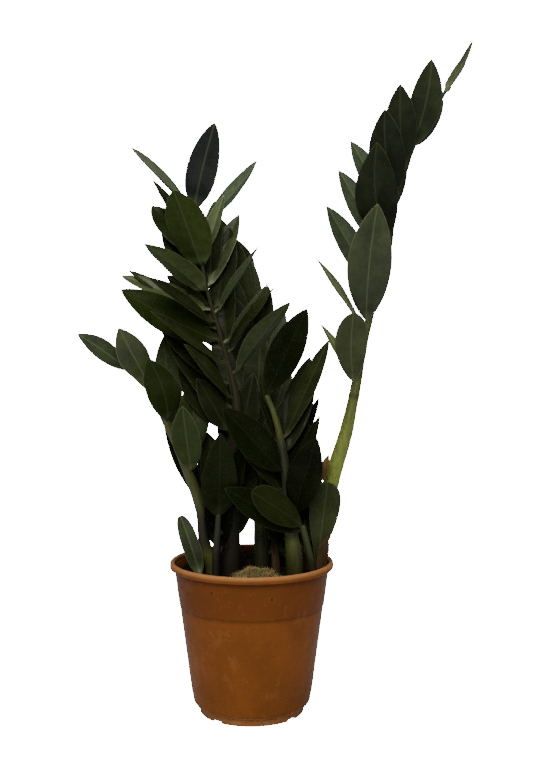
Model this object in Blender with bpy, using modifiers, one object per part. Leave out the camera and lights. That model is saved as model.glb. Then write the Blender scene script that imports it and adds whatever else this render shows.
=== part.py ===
"""A potted zz plant: a plastic nursery pot, its soil and moss, five leafy fronds and the shoots at their foot.

Metres, +Z up.  The origin is the middle of the pot's foot, on the ground.  +X is the side that the tallest
frond leans to, and -Y is the front.
"""

import math

import bmesh
import bpy
from mathutils import Vector

CM = 0.01
MM = 0.001
GAP = 0.3 * MM

# Pot: a round plastic nursery pot of 17 cm.
POT_HEIGHT = 157 * MM
LIP_RADIUS = 84.5 * MM
LIP_HEIGHT = 7.0 * MM
LIP_WIDTH = 5.0 * MM
NECK_RADIUS = 79.5 * MM
BASE_RADIUS = 61.0 * MM
BAND_HEIGHT = 112 * MM
BAND_STEP = 1.2 * MM
BASE_CORNER = 7.0 * MM
WALL = 1.7 * MM
FLOOR_TOP = 9.0 * MM
FOOT_HEIGHT = 8.0 * MM
FOOT_RADIUS = 54.0 * MM
FOOT_WIDTH = 5.0 * MM
FOOT_NOTCH = (14 * MM, 12 * MM, 4.5 * MM)
FOOT_NOTCH_ANGLES = (-40, 50, 140, 230)
PAD_RADIUS = 16 * MM
RECESS = 3.5 * MM
DRAIN_RADIUS = 4.0 * MM
DRAIN_CIRCLE = 36 * MM
DRAIN_COUNT = 6
POT_STEPS = 48

SOIL_TOP = 142 * MM
SOIL_STEPS = 36

# Moss: a low cushion on the soil, close behind the front of the rim.
MOSS_CENTRE = (5 * MM, -52 * MM)
MOSS_RADII = (25 * MM, 16 * MM, 12 * MM)

# Leaflets: a grid bent to the blade's outline and given its thickness.
LEAF_CELLS = 8
LEAF_THICKNESS = 0.9 * MM
LEAF_FOLD = 0.28
PETIOLE_WIDTH = 2.6 * MM
POINT_WIDTH = 1.2 * MM
POINTED_BLADE = (0.85, 0.85)

# Stems: name, then points from the rooted end up as (x, y, z in cm, radius in mm).
STEMS = {
    "right_stem": [
        (5.6, 1.4, 11.8, 8), (6, 1.6, 14.6, 8.5), (7.1, 2, 18.6, 9), (8.5, 2.5, 24.1, 8.5),
        (9.9, 2.9, 28.7, 7.2), (11, 3.3, 33.8, 5), (12.2, 3.6, 40, 4), (14.2, 3.9, 47.2, 3.4),
        (15, 4, 52.4, 3), (16.7, 4, 58.1, 2.5), (18, 3.9, 60.6, 2.2), (20.2, 3.8, 64.3, 2),
    ],
    "centre_stem": [
        (-2.2, 0.2, 11.8, 9), (-2.2, 0.2, 15, 9.5), (-2.2, 0.1, 20, 9), (-2, 0, 26, 7.5),
        (-1.5, -0.2, 31, 7), (-2, -0.3, 34.5, 6), (-2.7, -0.5, 37.2, 4.5), (-3.4, -0.7, 39.8, 3.8),
        (-4.2, -0.9, 42.5, 3.3), (-4.9, -1.2, 45.6, 2.8), (-5.3, -1.5, 49.9, 2.4), (-5.6, -1.7, 51.8, 2.2),
    ],
    "back_stem": [
        (1, 2, 11.8, 7), (1, 2, 14.9, 7.5), (0.8, 2.5, 19.5, 6.5), (0.4, 3.4, 24, 4.5),
        (0.4, 4.6, 31.6, 4), (0.1, 5.6, 37.9, 3.3), (-0.8, 6.4, 43.7, 2.5),
    ],
    "left_stem": [
        (-4, -0.5, 11.8, 6), (-4.2, -0.6, 15.1, 6), (-4.9, -0.8, 18.1, 5.8), (-5.2, -1.1, 21.2, 5.5),
        (-6.3, -1.6, 24.7, 5), (-7.4, -2.2, 27.7, 4.5), (-8.7, -2.9, 30.7, 3.8), (-9.8, -3.5, 33.2, 3),
        (-12, -4.2, 35.4, 2.4),
    ],
    "middle_stem": [
        (4.4, -1.3, 11.8, 8), (4.4, -1.4, 15.3, 8.5), (3.9, -1.6, 20.3, 6), (3.5, -1.9, 25.2, 4.5),
        (2.9, -2.3, 28.8, 3.6), (2.2, -2.6, 31.3, 3), (1.6, -2.9, 32.8, 2.5),
    ],
    "front_left_stem": [(-3.6, -2.6, 11.8, 3.5), (-3.6, -2.6, 15.6, 3.8), (-3.3, -2.8, 20.8, 2.8)],
    "front_right_stem": [(6.3, -2.2, 11.8, 3.8), (6.2, -2.3, 15.2, 3.8), (5.2, -2.8, 19.6, 3)],
    "dry_stalk": [(2.5, 0.2, 11.8, 4), (2.5, 0.1, 15, 4.5), (2.1, -0.1, 19.4, 2)],
}
STEM_STRETCH = 3.0

# Leaflets: name, stem, height on the stem in cm, tip in cm, width in cm, turn in degrees.
# END is a leaf that ends its stem.
# A turn of 0 shows the upper face to the front, 90 turns it to the right of the leaf's own line, 180 to the back.
END = None
LEAVES = [
    ("right_leaf_1", "right_stem", END, (22.9, 3, 69.3), 2.4, -77),
    ("right_leaf_2", "right_stem", 58.4, (18.3, 0.5, 66.9), 3.3, -10),
    ("right_leaf_3", "right_stem", 56.4, (15, -0.5, 64.2), 3.4, 5),
    ("right_leaf_4", "right_stem", 54.6, (13.4, -1, 61.6), 3.9, 8),
    ("right_leaf_5", "right_stem", 50.6, (12.7, -1.5, 58.2), 4.4, 5),
    ("right_leaf_6", "right_stem", 40.2, (12.8, -0.5, 52.2), 4.6, 0),
    ("right_leaf_7", "right_stem", 33.7, (10.4, -0.5, 41.2), 3.4, 0),
    ("right_leaf_8", "right_stem", 51.6, (10.5, 7, 59.7), 2.6, 150),
    ("right_leaf_9", "right_stem", 47.6, (9.2, 7, 56.6), 2.8, 150),
    ("right_leaf_10", "right_stem", 43.8, (7.9, 6.5, 52.7), 2.9, 150),
    ("right_leaf_11", "right_stem", 39.5, (7, 6, 47.2), 2.2, 80),
    ("right_leaf_12", "right_stem", 34.4, (7.4, 5, 39.9), 1.4, 100),
    ("centre_leaf_1", "centre_stem", END, (-3.5, -4, 59.7), 3.3, 0),
    ("centre_leaf_2", "centre_stem", 51.5, (-12.6, 2.5, 58.3), 2.6, 110),
    ("centre_leaf_3", "centre_stem", 50.1, (0.6, 2, 56.9), 2.6, -112),
    ("centre_leaf_4", "centre_stem", 45.9, (-7.4, -6, 52.9), 4.2, 165),
    ("centre_leaf_5", "centre_stem", 46.5, (-10.4, 3.5, 52.4), 2.8, 50),
    ("centre_leaf_6", "centre_stem", 43.5, (-10.4, -5, 47.9), 3.2, 130),
    ("centre_leaf_7", "centre_stem", 47.0, (-2.7, -1.2, 53), 2, -130),
    ("centre_leaf_8", "centre_stem", 43.8, (-1.3, 2, 51.4), 2.8, -35),
    ("centre_leaf_9", "centre_stem", 41.2, (0.9, -4, 47.8), 2.6, -105),
    ("centre_leaf_10", "centre_stem", 38.1, (2.3, -5, 44.5), 2.2, -95),
    ("centre_leaf_11", "centre_stem", 35, (3.9, -5.5, 42.2), 2.8, -120),
    ("centre_leaf_12", "centre_stem", 41.5, (-13.8, 3.5, 45.1), 3, 55),
    ("centre_leaf_13", "centre_stem", 38.5, (-13, -2, 43.6), 3.6, 30),
    ("centre_leaf_14", "centre_stem", 40.3, (-10, -5.5, 44.6), 2.4, 65),
    ("centre_leaf_15", "centre_stem", 36.1, (-9.6, -7, 41.3), 2.4, 70),
    ("centre_leaf_16", "centre_stem", 32.5, (-6.5, -5.5, 38.1), 2.4, 65),
    ("back_leaf_1", "back_stem", 43.4, (-2.1, 4.5, 49.2), 3.4, 0),
    ("back_leaf_2", "back_stem", 35.9, (1.7, 3.5, 44.1), 3.2, -30),
    ("back_leaf_3", "back_stem", 33.8, (-2.6, 3, 43.5), 3.4, 20),
    ("left_leaf_1", "left_stem", END, (-16.8, -6, 39.1), 2.4, 40),
    ("left_leaf_2", "left_stem", 34.1, (-12.7, -6.5, 39.7), 3, 10),
    ("left_leaf_3", "left_stem", 30.4, (-9.8, -7, 36.8), 3.4, 0),
    ("left_leaf_4", "left_stem", 25.1, (-6.6, -6, 32.1), 3, -10),
    ("left_leaf_5", "left_stem", 29.6, (-9.2, 2, 38.8), 3, 170),
    ("middle_leaf_1", "middle_stem", END, (5.6, -3, 41.6), 3.4, -10),
    ("middle_leaf_2", "middle_stem", 28.4, (8, 1, 38.4), 2.6, -45),
    ("middle_leaf_3", "middle_stem", 25.2, (-2.7, -6, 31.9), 3.5, 20),
    ("middle_leaf_4", "middle_stem", 24.7, (7, 1.5, 32.4), 2.2, -70),
    ("middle_leaf_5", "middle_stem", 22.7, (6.9, -4, 31), 2.2, -65),
    ("middle_leaf_6", "middle_stem", 20.8, (6.5, -6, 29), 3.6, -20),
    ("front_left_leaf_1", "front_left_stem", END, (-3, -5, 29.4), 2.5, 10),
    ("front_left_leaf_2", "front_left_stem", 18.6, (-0.8, -1, 28.1), 2.4, -30),
    ("front_right_leaf_1", "front_right_stem", END, (0.1, -6, 23.7), 3.3, 30),
]

# Small leaves and dry scales that rise from the soil or hug a stem: name, foot, tip, width (cm), turn.
SHOOTS = [
    ("young_leaf_right", (6.6, -0.9, 14.35), (7.8, -1.1, 23.9), 3.2, -5),
    ("young_leaf_left", (-5.3, -0.9, 14.35), (-7.3, -1.3, 20.5), 1.7, 20),
    ("dry_sheath", (6.9, -1.5, 14.35), (7.8, -1.9, 18.6), 1.2, -20),
    ("dry_scale", (7.3, 0.8, 23.9), (8.0, 0.4, 26.6), 0.9, -40),
]

# Leaves with a rounder end: how fast the blade widens from its foot, and how fast it narrows to its end.
ROUND_BLADES = {
    "right_leaf_7": (0.85, 0.5),
    "young_leaf_right": (1.4, 0.4),
    "young_leaf_left": (1.0, 0.4),
}
# Leaves that curve sideways, by so many cm at mid length.
SWAY = {
    "right_leaf_2": 0.3, "right_leaf_3": -0.2, "right_leaf_4": -0.5, "right_leaf_5": -0.8,
    "right_leaf_6": -0.3, "right_leaf_7": -0.3, "centre_leaf_1": -0.1, "centre_leaf_13": -0.4,
    "left_leaf_3": 0.5,
}

COLOURS = {
    "pot": (0.30, 0.13, 0.045, 1),
    "soil": (0.03, 0.02, 0.012, 1),
    "moss": (0.25, 0.24, 0.09, 1),
    "stem": (0.20, 0.24, 0.07, 1),
    "leaf": (0.035, 0.06, 0.018, 1),
    "dry": (0.24, 0.13, 0.06, 1),
}
ROUGHNESS = {"pot": 0.45, "soil": 0.95, "moss": 0.95, "stem": 0.4, "leaf": 0.3, "dry": 0.8}


def clear_scene():
    for item in list(bpy.data.objects):
        bpy.data.objects.remove(item)


def collection(name):
    made = bpy.data.collections.new(name)
    bpy.context.scene.collection.children.link(made)
    return made


def material(name, kind):
    made = bpy.data.materials.new(name)
    made.use_nodes = True
    shader = made.node_tree.nodes["Principled BSDF"]
    shader.inputs["Base Color"].default_value = COLOURS[kind]
    shader.inputs["Roughness"].default_value = ROUGHNESS[kind]
    made.diffuse_color = COLOURS[kind]
    return made


def add_object(name, data, where, kind=None):
    made = bpy.data.objects.new(name, data)
    where.objects.link(made)
    if kind:
        data.materials.append(material(name, kind))
    return made


def mesh_from(name, work):
    mesh = bpy.data.meshes.new(name)
    work.to_mesh(mesh)
    work.free()
    return mesh


def shade_round(item):
    item.data.shade_smooth()
    item.data.set_sharp_from_angle(angle=math.radians(35))


def cut(item, tool):
    tool.hide_render = True
    tool.display_type = "WIRE"
    step = item.modifiers.new("cut_" + tool.name, "BOOLEAN")
    step.operation = "DIFFERENCE"
    step.object = tool


# ---------------------------------------------------------------- pot, soil and moss

def wall_radius(z):
    """Outer radius of the pot's tapering wall at height z, without the band's step."""
    share = (z - FOOT_HEIGHT) / (POT_HEIGHT - LIP_HEIGHT - FOOT_HEIGHT)
    return BASE_RADIUS + (NECK_RADIUS - BASE_RADIUS) * share


def inner_radius(z):
    return wall_radius(z) - WALL


def turned(name, profile, steps, where, kind):
    mesh = bpy.data.meshes.new(name)
    edges = [(i, i + 1) for i in range(len(profile) - 1)]
    mesh.from_pydata([(r, 0, z) for r, z in profile], edges, [])
    item = add_object(name, mesh, where, kind)
    screw = item.modifiers.new("turn", "SCREW")
    screw.steps = steps
    screw.render_steps = steps
    screw.use_merge_vertices = True
    screw.merge_threshold = 0.00001
    screw.use_smooth_shade = True
    return item


def lip_profile():
    """The rolled lip: its round top, from the inner edge to the outer."""
    bend = LIP_WIDTH / 2
    points = []
    for step in range(7):
        angle = math.radians(180 - 30 * step)
        points.append((LIP_RADIUS - bend + bend * math.cos(angle), POT_HEIGHT - bend + bend * math.sin(angle)))
    return points


def pot_profile():
    neck = POT_HEIGHT - LIP_HEIGHT
    corner = 2 * MM
    profile = [(0, FLOOR_TOP), (inner_radius(FLOOR_TOP) - corner, FLOOR_TOP)]
    profile.append((inner_radius(FLOOR_TOP + corner), FLOOR_TOP + corner))
    profile.append((inner_radius(neck), neck))
    profile += lip_profile()
    profile += [(LIP_RADIUS, neck + 1 * MM), (LIP_RADIUS - 1 * MM, neck), (NECK_RADIUS, neck - 0.5 * MM)]
    profile.append((wall_radius(BAND_HEIGHT) + 0.4 * MM, BAND_HEIGHT))
    profile.append((wall_radius(BAND_HEIGHT) - BAND_STEP * 0.4, BAND_HEIGHT - BAND_STEP))
    profile.append((wall_radius(FOOT_HEIGHT + BASE_CORNER), FOOT_HEIGHT + BASE_CORNER))
    profile.append((BASE_RADIUS - 0.3 * BASE_CORNER, FOOT_HEIGHT + 0.3 * BASE_CORNER))
    profile.append((BASE_RADIUS - 0.8 * BASE_CORNER, FOOT_HEIGHT))
    profile += [(FOOT_RADIUS, FOOT_HEIGHT - 1 * MM), (FOOT_RADIUS - 0.5 * MM, 0)]
    profile += [(FOOT_RADIUS - FOOT_WIDTH, 0), (FOOT_RADIUS - FOOT_WIDTH - 1 * MM, RECESS)]
    profile += [(PAD_RADIUS + 1 * MM, RECESS), (PAD_RADIUS, 0), (0, 0)]
    return profile


def make_pot(parts, cutters):
    pot = turned("pot", pot_profile(), POT_STEPS, parts, "pot")
    for index in range(DRAIN_COUNT):
        angle = 2 * math.pi * index / DRAIN_COUNT
        work = bmesh.new()
        bmesh.ops.create_cone(work, cap_ends=True, segments=12, radius1=DRAIN_RADIUS,
                              radius2=DRAIN_RADIUS, depth=30 * MM)
        hole = add_object(f"drain_hole_{index + 1}", mesh_from("drain_hole", work), cutters)
        hole.location = (DRAIN_CIRCLE * math.cos(angle), DRAIN_CIRCLE * math.sin(angle), 0)
        cut(pot, hole)
    for index, degrees in enumerate(FOOT_NOTCH_ANGLES):
        angle = math.radians(degrees)
        middle = FOOT_RADIUS - FOOT_WIDTH / 2
        work = bmesh.new()
        bmesh.ops.create_cube(work, size=1)
        bmesh.ops.scale(work, vec=FOOT_NOTCH, verts=work.verts)
        notch = add_object(f"foot_notch_{index + 1}", mesh_from("foot_notch", work), cutters)
        notch.location = (middle * math.cos(angle), middle * math.sin(angle), 0)
        notch.rotation_euler.z = angle
        cut(pot, notch)
    return pot


def make_soil(parts):
    low = FLOOR_TOP + GAP
    corner = 3 * MM
    side = SOIL_TOP - corner
    profile = [(0, SOIL_TOP), (inner_radius(SOIL_TOP) - corner - GAP, SOIL_TOP), (inner_radius(side) - GAP, side)]
    profile += [(inner_radius(low + corner) - GAP, low + corner), (inner_radius(low) - corner - GAP, low), (0, low)]
    return turned("soil", profile, SOIL_STEPS, parts, "soil")


def make_moss(parts):
    work = bmesh.new()
    bmesh.ops.create_uvsphere(work, u_segments=20, v_segments=12, radius=1)
    for vertex in work.verts:
        lump = 1 + 0.10 * math.sin(5 * vertex.co.x + 2) * math.cos(6 * vertex.co.y)
        vertex.co = Vector(r * c for r, c in zip(MOSS_RADII, vertex.co * lump))
    everything = work.verts[:] + work.edges[:] + work.faces[:]
    bmesh.ops.bisect_plane(work, geom=everything, plane_co=(0, 0, 0), plane_no=(0, 0, -1), clear_outer=True)
    bmesh.ops.holes_fill(work, edges=[edge for edge in work.edges if edge.is_boundary])
    bmesh.ops.recalc_face_normals(work, faces=work.faces)
    moss = add_object("moss", mesh_from("moss", work), parts, "moss")
    moss.location = (*MOSS_CENTRE, SOIL_TOP + GAP)
    shade_round(moss)


# ---------------------------------------------------------------- stems

def smooth_route(points):
    """Points about STEM_STRETCH radii apart on a smooth curve through the given (x, y, z, radius) points."""
    knots = [Vector((x * CM, y * CM, z * CM, r * MM)) for x, y, z, r in points]
    route = []
    for index in range(len(knots) - 1):
        before = knots[max(index - 1, 0)]
        start, end = knots[index], knots[index + 1]
        after = knots[min(index + 2, len(knots) - 1)]
        length = (end.xyz - start.xyz).length
        count = max(1, round(length / (STEM_STRETCH * start.w)))
        for step in range(count):
            t = step / count
            a = 2 * start
            b = (end - before) * t
            c = (2 * before - 5 * start + 4 * end - after) * t * t
            d = (3 * start - before - 3 * end + after) * t * t * t
            route.append((a + b + c + d) / 2)
    route.append(knots[-1])
    return route


def tube(name, route, where, spare=0.0):
    curve = bpy.data.curves.new(name, "CURVE")
    curve.dimensions = "3D"
    curve.bevel_depth = 1.0
    curve.bevel_resolution = 2
    curve.use_fill_caps = True
    spline = curve.splines.new("POLY")
    spline.points.add(len(route) - 1)
    for point, place in zip(spline.points, route):
        point.co = (*place.xyz, 1)
        point.radius = place.w + spare
    item = bpy.data.objects.new(name, curve)
    where.objects.link(item)
    return item


def solid_from_curve(item, where, kind=None):
    """Replace a curve object by the closed mesh that it shows, caps welded."""
    bpy.context.view_layer.update()
    seen = item.evaluated_get(bpy.context.evaluated_depsgraph_get())
    mesh = bpy.data.meshes.new_from_object(seen)
    work = bmesh.new()
    work.from_mesh(mesh)
    bmesh.ops.remove_doubles(work, verts=work.verts, dist=0.00001)
    work.to_mesh(mesh)
    work.free()
    name = item.name
    bpy.data.objects.remove(item)
    mesh.name = name
    mesh.materials.clear()
    return add_object(name, mesh, where, kind)


def make_stems(parts, cutters, soil):
    for name, points in STEMS.items():
        route = smooth_route(points)
        kind = "dry" if name == "dry_stalk" else "stem"
        stem = solid_from_curve(tube(name, route, parts), parts, kind)
        shade_round(stem)
        above = sum(place.z < SOIL_TOP + 2 * MM for place in route)
        foot = route[0].copy()
        foot.z -= 2 * GAP
        socket = tube("socket_" + name, [foot] + route[1:above + 1], cutters, spare=1.5 * GAP)
        cut(soil, solid_from_curve(socket, cutters))


# ---------------------------------------------------------------- leaflets

def foot_on_stem(stem, height, tip):
    """Where a leaf leaves its stem: past the end, or on the side that faces the tip at a height given in cm."""
    route = smooth_route(STEMS[stem])
    if height is END:
        along = (route[-1].xyz - route[-2].xyz).normalized()
        return route[-1].xyz + along * (PETIOLE_WIDTH / 2 + GAP)
    z = height * CM
    upper = next(index for index, place in enumerate(route) if place.z >= z)
    low, high = route[upper - 1], route[upper]
    place = low.lerp(high, (z - low.z) / (high.z - low.z))
    along = (high.xyz - low.xyz).normalized()
    outward = tip - place.xyz
    outward = (outward - along * outward.dot(along)).normalized()
    return place.xyz + outward * (place.w + PETIOLE_WIDTH / 2 + GAP)


def blade_half_width(share, width, rise, point):
    peak = rise / (rise + point)
    top = peak ** rise * (1 - peak) ** point
    outline = share ** rise * (1 - share) ** point / top
    least = PETIOLE_WIDTH + (POINT_WIDTH - PETIOLE_WIDTH) * share
    return max(width * outline, least) / 2


def leaf(name, foot, tip, width, turn, where, kind="leaf"):
    rise, point = ROUND_BLADES.get(name, POINTED_BLADE)
    sway = SWAY.get(name, 0) * CM
    line = tip - foot
    along = line.normalized()
    front = Vector((0, -1, 0))
    front = (front - along * front.dot(along)).normalized()
    side = along.cross(front)
    facing = front * math.cos(math.radians(turn)) + side * math.sin(math.radians(turn))
    across = along.cross(facing)
    work = bmesh.new()
    bmesh.ops.create_grid(work, x_segments=2, y_segments=LEAF_CELLS, size=1)
    for vertex in work.verts:
        share = (vertex.co.y + 1) / 2
        reach = vertex.co.x * blade_half_width(share, width, rise, point)
        aside = reach + sway * 4 * share * (1 - share)
        vertex.co = foot + line * share + across * aside + facing * (LEAF_FOLD * abs(reach))
    item = add_object(name, mesh_from(name, work), where, kind)
    thickness = item.modifiers.new("thickness", "SOLIDIFY")
    thickness.thickness = LEAF_THICKNESS
    thickness.offset = 0
    item.data.shade_smooth()


def make_leaves(parts):
    for name, stem, height, tip, width, turn in LEAVES:
        end = Vector(tip) * CM
        leaf(name, foot_on_stem(stem, height, end), end, width * CM, turn, parts)
    for name, foot, tip, width, turn in SHOOTS:
        kind = "dry" if name.startswith("dry") else "leaf"
        leaf(name, Vector(foot) * CM, Vector(tip) * CM, width * CM, turn, parts, kind)


def main():
    clear_scene()
    parts = collection("zz_plant")
    cutters = collection("cutters")
    make_pot(parts, cutters)
    soil = make_soil(parts)
    make_moss(parts)
    make_stems(parts, cutters, soil)
    make_leaves(parts)


main()
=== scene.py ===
"""The potted zz plant in its final look: turned plastic pot, soil, moss, stems, leaflets and dry scales.

Metres, +Z up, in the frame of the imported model.  Each fine piece stands for the plain solid of the same
name, and the leaflets that only the looks need are listed apart.
"""

import math
import random

import bmesh
import bpy
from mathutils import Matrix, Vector, noise


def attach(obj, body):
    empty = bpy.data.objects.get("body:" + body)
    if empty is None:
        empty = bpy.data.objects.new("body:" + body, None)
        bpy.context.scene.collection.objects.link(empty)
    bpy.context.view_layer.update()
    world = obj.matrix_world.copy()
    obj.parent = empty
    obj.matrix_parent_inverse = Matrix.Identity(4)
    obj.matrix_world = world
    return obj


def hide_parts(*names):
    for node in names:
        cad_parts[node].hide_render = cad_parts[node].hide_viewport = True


CM = 0.01
MM = 0.001
TAU = 2 * math.pi

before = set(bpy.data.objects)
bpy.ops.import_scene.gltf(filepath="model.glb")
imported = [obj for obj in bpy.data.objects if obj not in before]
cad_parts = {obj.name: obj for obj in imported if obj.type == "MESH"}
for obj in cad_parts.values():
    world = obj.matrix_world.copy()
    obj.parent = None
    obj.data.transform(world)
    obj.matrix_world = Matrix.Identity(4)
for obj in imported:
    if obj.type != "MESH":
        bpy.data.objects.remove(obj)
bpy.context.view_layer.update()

# ---------------------------------------------------------------- sizes of the plant and its pot

GAP = 0.3 * MM
POT_HEIGHT = 157 * MM
LIP_RADIUS = 84.5 * MM
LIP_HEIGHT = 7.0 * MM
POT_NECK = POT_HEIGHT - LIP_HEIGHT
LIP_WIDTH = 5.0 * MM
NECK_RADIUS = 79.5 * MM
BASE_RADIUS = 61.0 * MM
BAND_HEIGHT = 112 * MM
BAND_STEP = 1.2 * MM
BASE_CORNER = 7.0 * MM
WALL = 1.7 * MM
FLOOR_TOP = 9.0 * MM
FOOT_HEIGHT = 8.0 * MM
FOOT_RADIUS = 54.0 * MM
FOOT_WIDTH = 5.0 * MM
FOOT_NOTCH = (14 * MM, 12 * MM, 4.5 * MM)
FOOT_NOTCH_ANGLES = (-40, 50, 140, 230)
PAD_RADIUS = 16 * MM
RECESS = 3.5 * MM
DRAIN_RADIUS = 4.0 * MM
DRAIN_CIRCLE = 36 * MM
DRAIN_COUNT = 6
POT_STEPS = 160
SOIL_TOP = 142 * MM

# Moss: a low cushion on the soil, close behind the front of the rim.
MOSS_CENTRE = (5 * MM, -52 * MM)
MOSS_RADII = (25 * MM, 16 * MM, 12 * MM)

LEAF_FOLD = 0.28
PETIOLE_WIDTH = 2.6 * MM
POINTED_BLADE = (0.85, 0.85)

# Stems: name, then points from the rooted end up as (x, y, z in cm, radius in mm).
STEMS = {
    "right_stem": [
        (5.6, 1.4, 11.8, 8), (6, 1.6, 14.6, 8.5), (7.1, 2, 18.6, 9), (8.5, 2.5, 24.1, 8.5),
        (9.9, 2.9, 28.7, 7.2), (11, 3.3, 33.8, 5), (12.2, 3.6, 40, 4), (14.2, 3.9, 47.2, 3.4),
        (15, 4, 52.4, 3), (16.7, 4, 58.1, 2.5), (18, 3.9, 60.6, 2.2), (20.2, 3.8, 64.3, 2),
    ],
    "centre_stem": [
        (-2.2, 0.2, 11.8, 9), (-2.2, 0.2, 15, 9.5), (-2.2, 0.1, 20, 9), (-2, 0, 26, 7.5),
        (-1.5, -0.2, 31, 7), (-2, -0.3, 34.5, 6), (-2.7, -0.5, 37.2, 4.5), (-3.4, -0.7, 39.8, 3.8),
        (-4.2, -0.9, 42.5, 3.3), (-4.9, -1.2, 45.6, 2.8), (-5.3, -1.5, 49.9, 2.4), (-5.6, -1.7, 51.8, 2.2),
    ],
    "back_stem": [
        (1, 2, 11.8, 7), (1, 2, 14.9, 7.5), (0.8, 2.5, 19.5, 6.5), (0.4, 3.4, 24, 4.5),
        (0.4, 4.6, 31.6, 4), (0.1, 5.6, 37.9, 3.3), (-0.8, 6.4, 43.7, 2.5),
    ],
    "left_stem": [
        (-4, -0.5, 11.8, 6), (-4.2, -0.6, 15.1, 6), (-4.9, -0.8, 18.1, 5.8), (-5.2, -1.1, 21.2, 5.5),
        (-6.3, -1.6, 24.7, 5), (-7.4, -2.2, 27.7, 4.5), (-8.7, -2.9, 30.7, 3.8), (-9.8, -3.5, 33.2, 3),
        (-12, -4.2, 35.4, 2.4),
    ],
    "middle_stem": [
        (4.4, -1.3, 11.8, 8), (4.4, -1.4, 15.3, 8.5), (3.9, -1.6, 20.3, 6), (3.5, -1.9, 25.2, 4.5),
        (2.9, -2.3, 28.8, 3.6), (2.2, -2.6, 31.3, 3), (1.6, -2.9, 32.8, 2.5),
    ],
    "front_left_stem": [(-3.6, -2.6, 11.8, 3.5), (-3.6, -2.6, 15.6, 3.8), (-3.3, -2.8, 20.8, 2.8)],
    "front_right_stem": [(6.3, -2.2, 11.8, 3.8), (6.2, -2.3, 15.2, 3.8), (5.2, -2.8, 19.6, 3)],
    "dry_stalk": [(2.5, 0.2, 11.8, 4), (2.5, 0.1, 15, 4.5), (2.1, -0.1, 19.4, 2)],
}
STEM_STRETCH = 3.0

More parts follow.
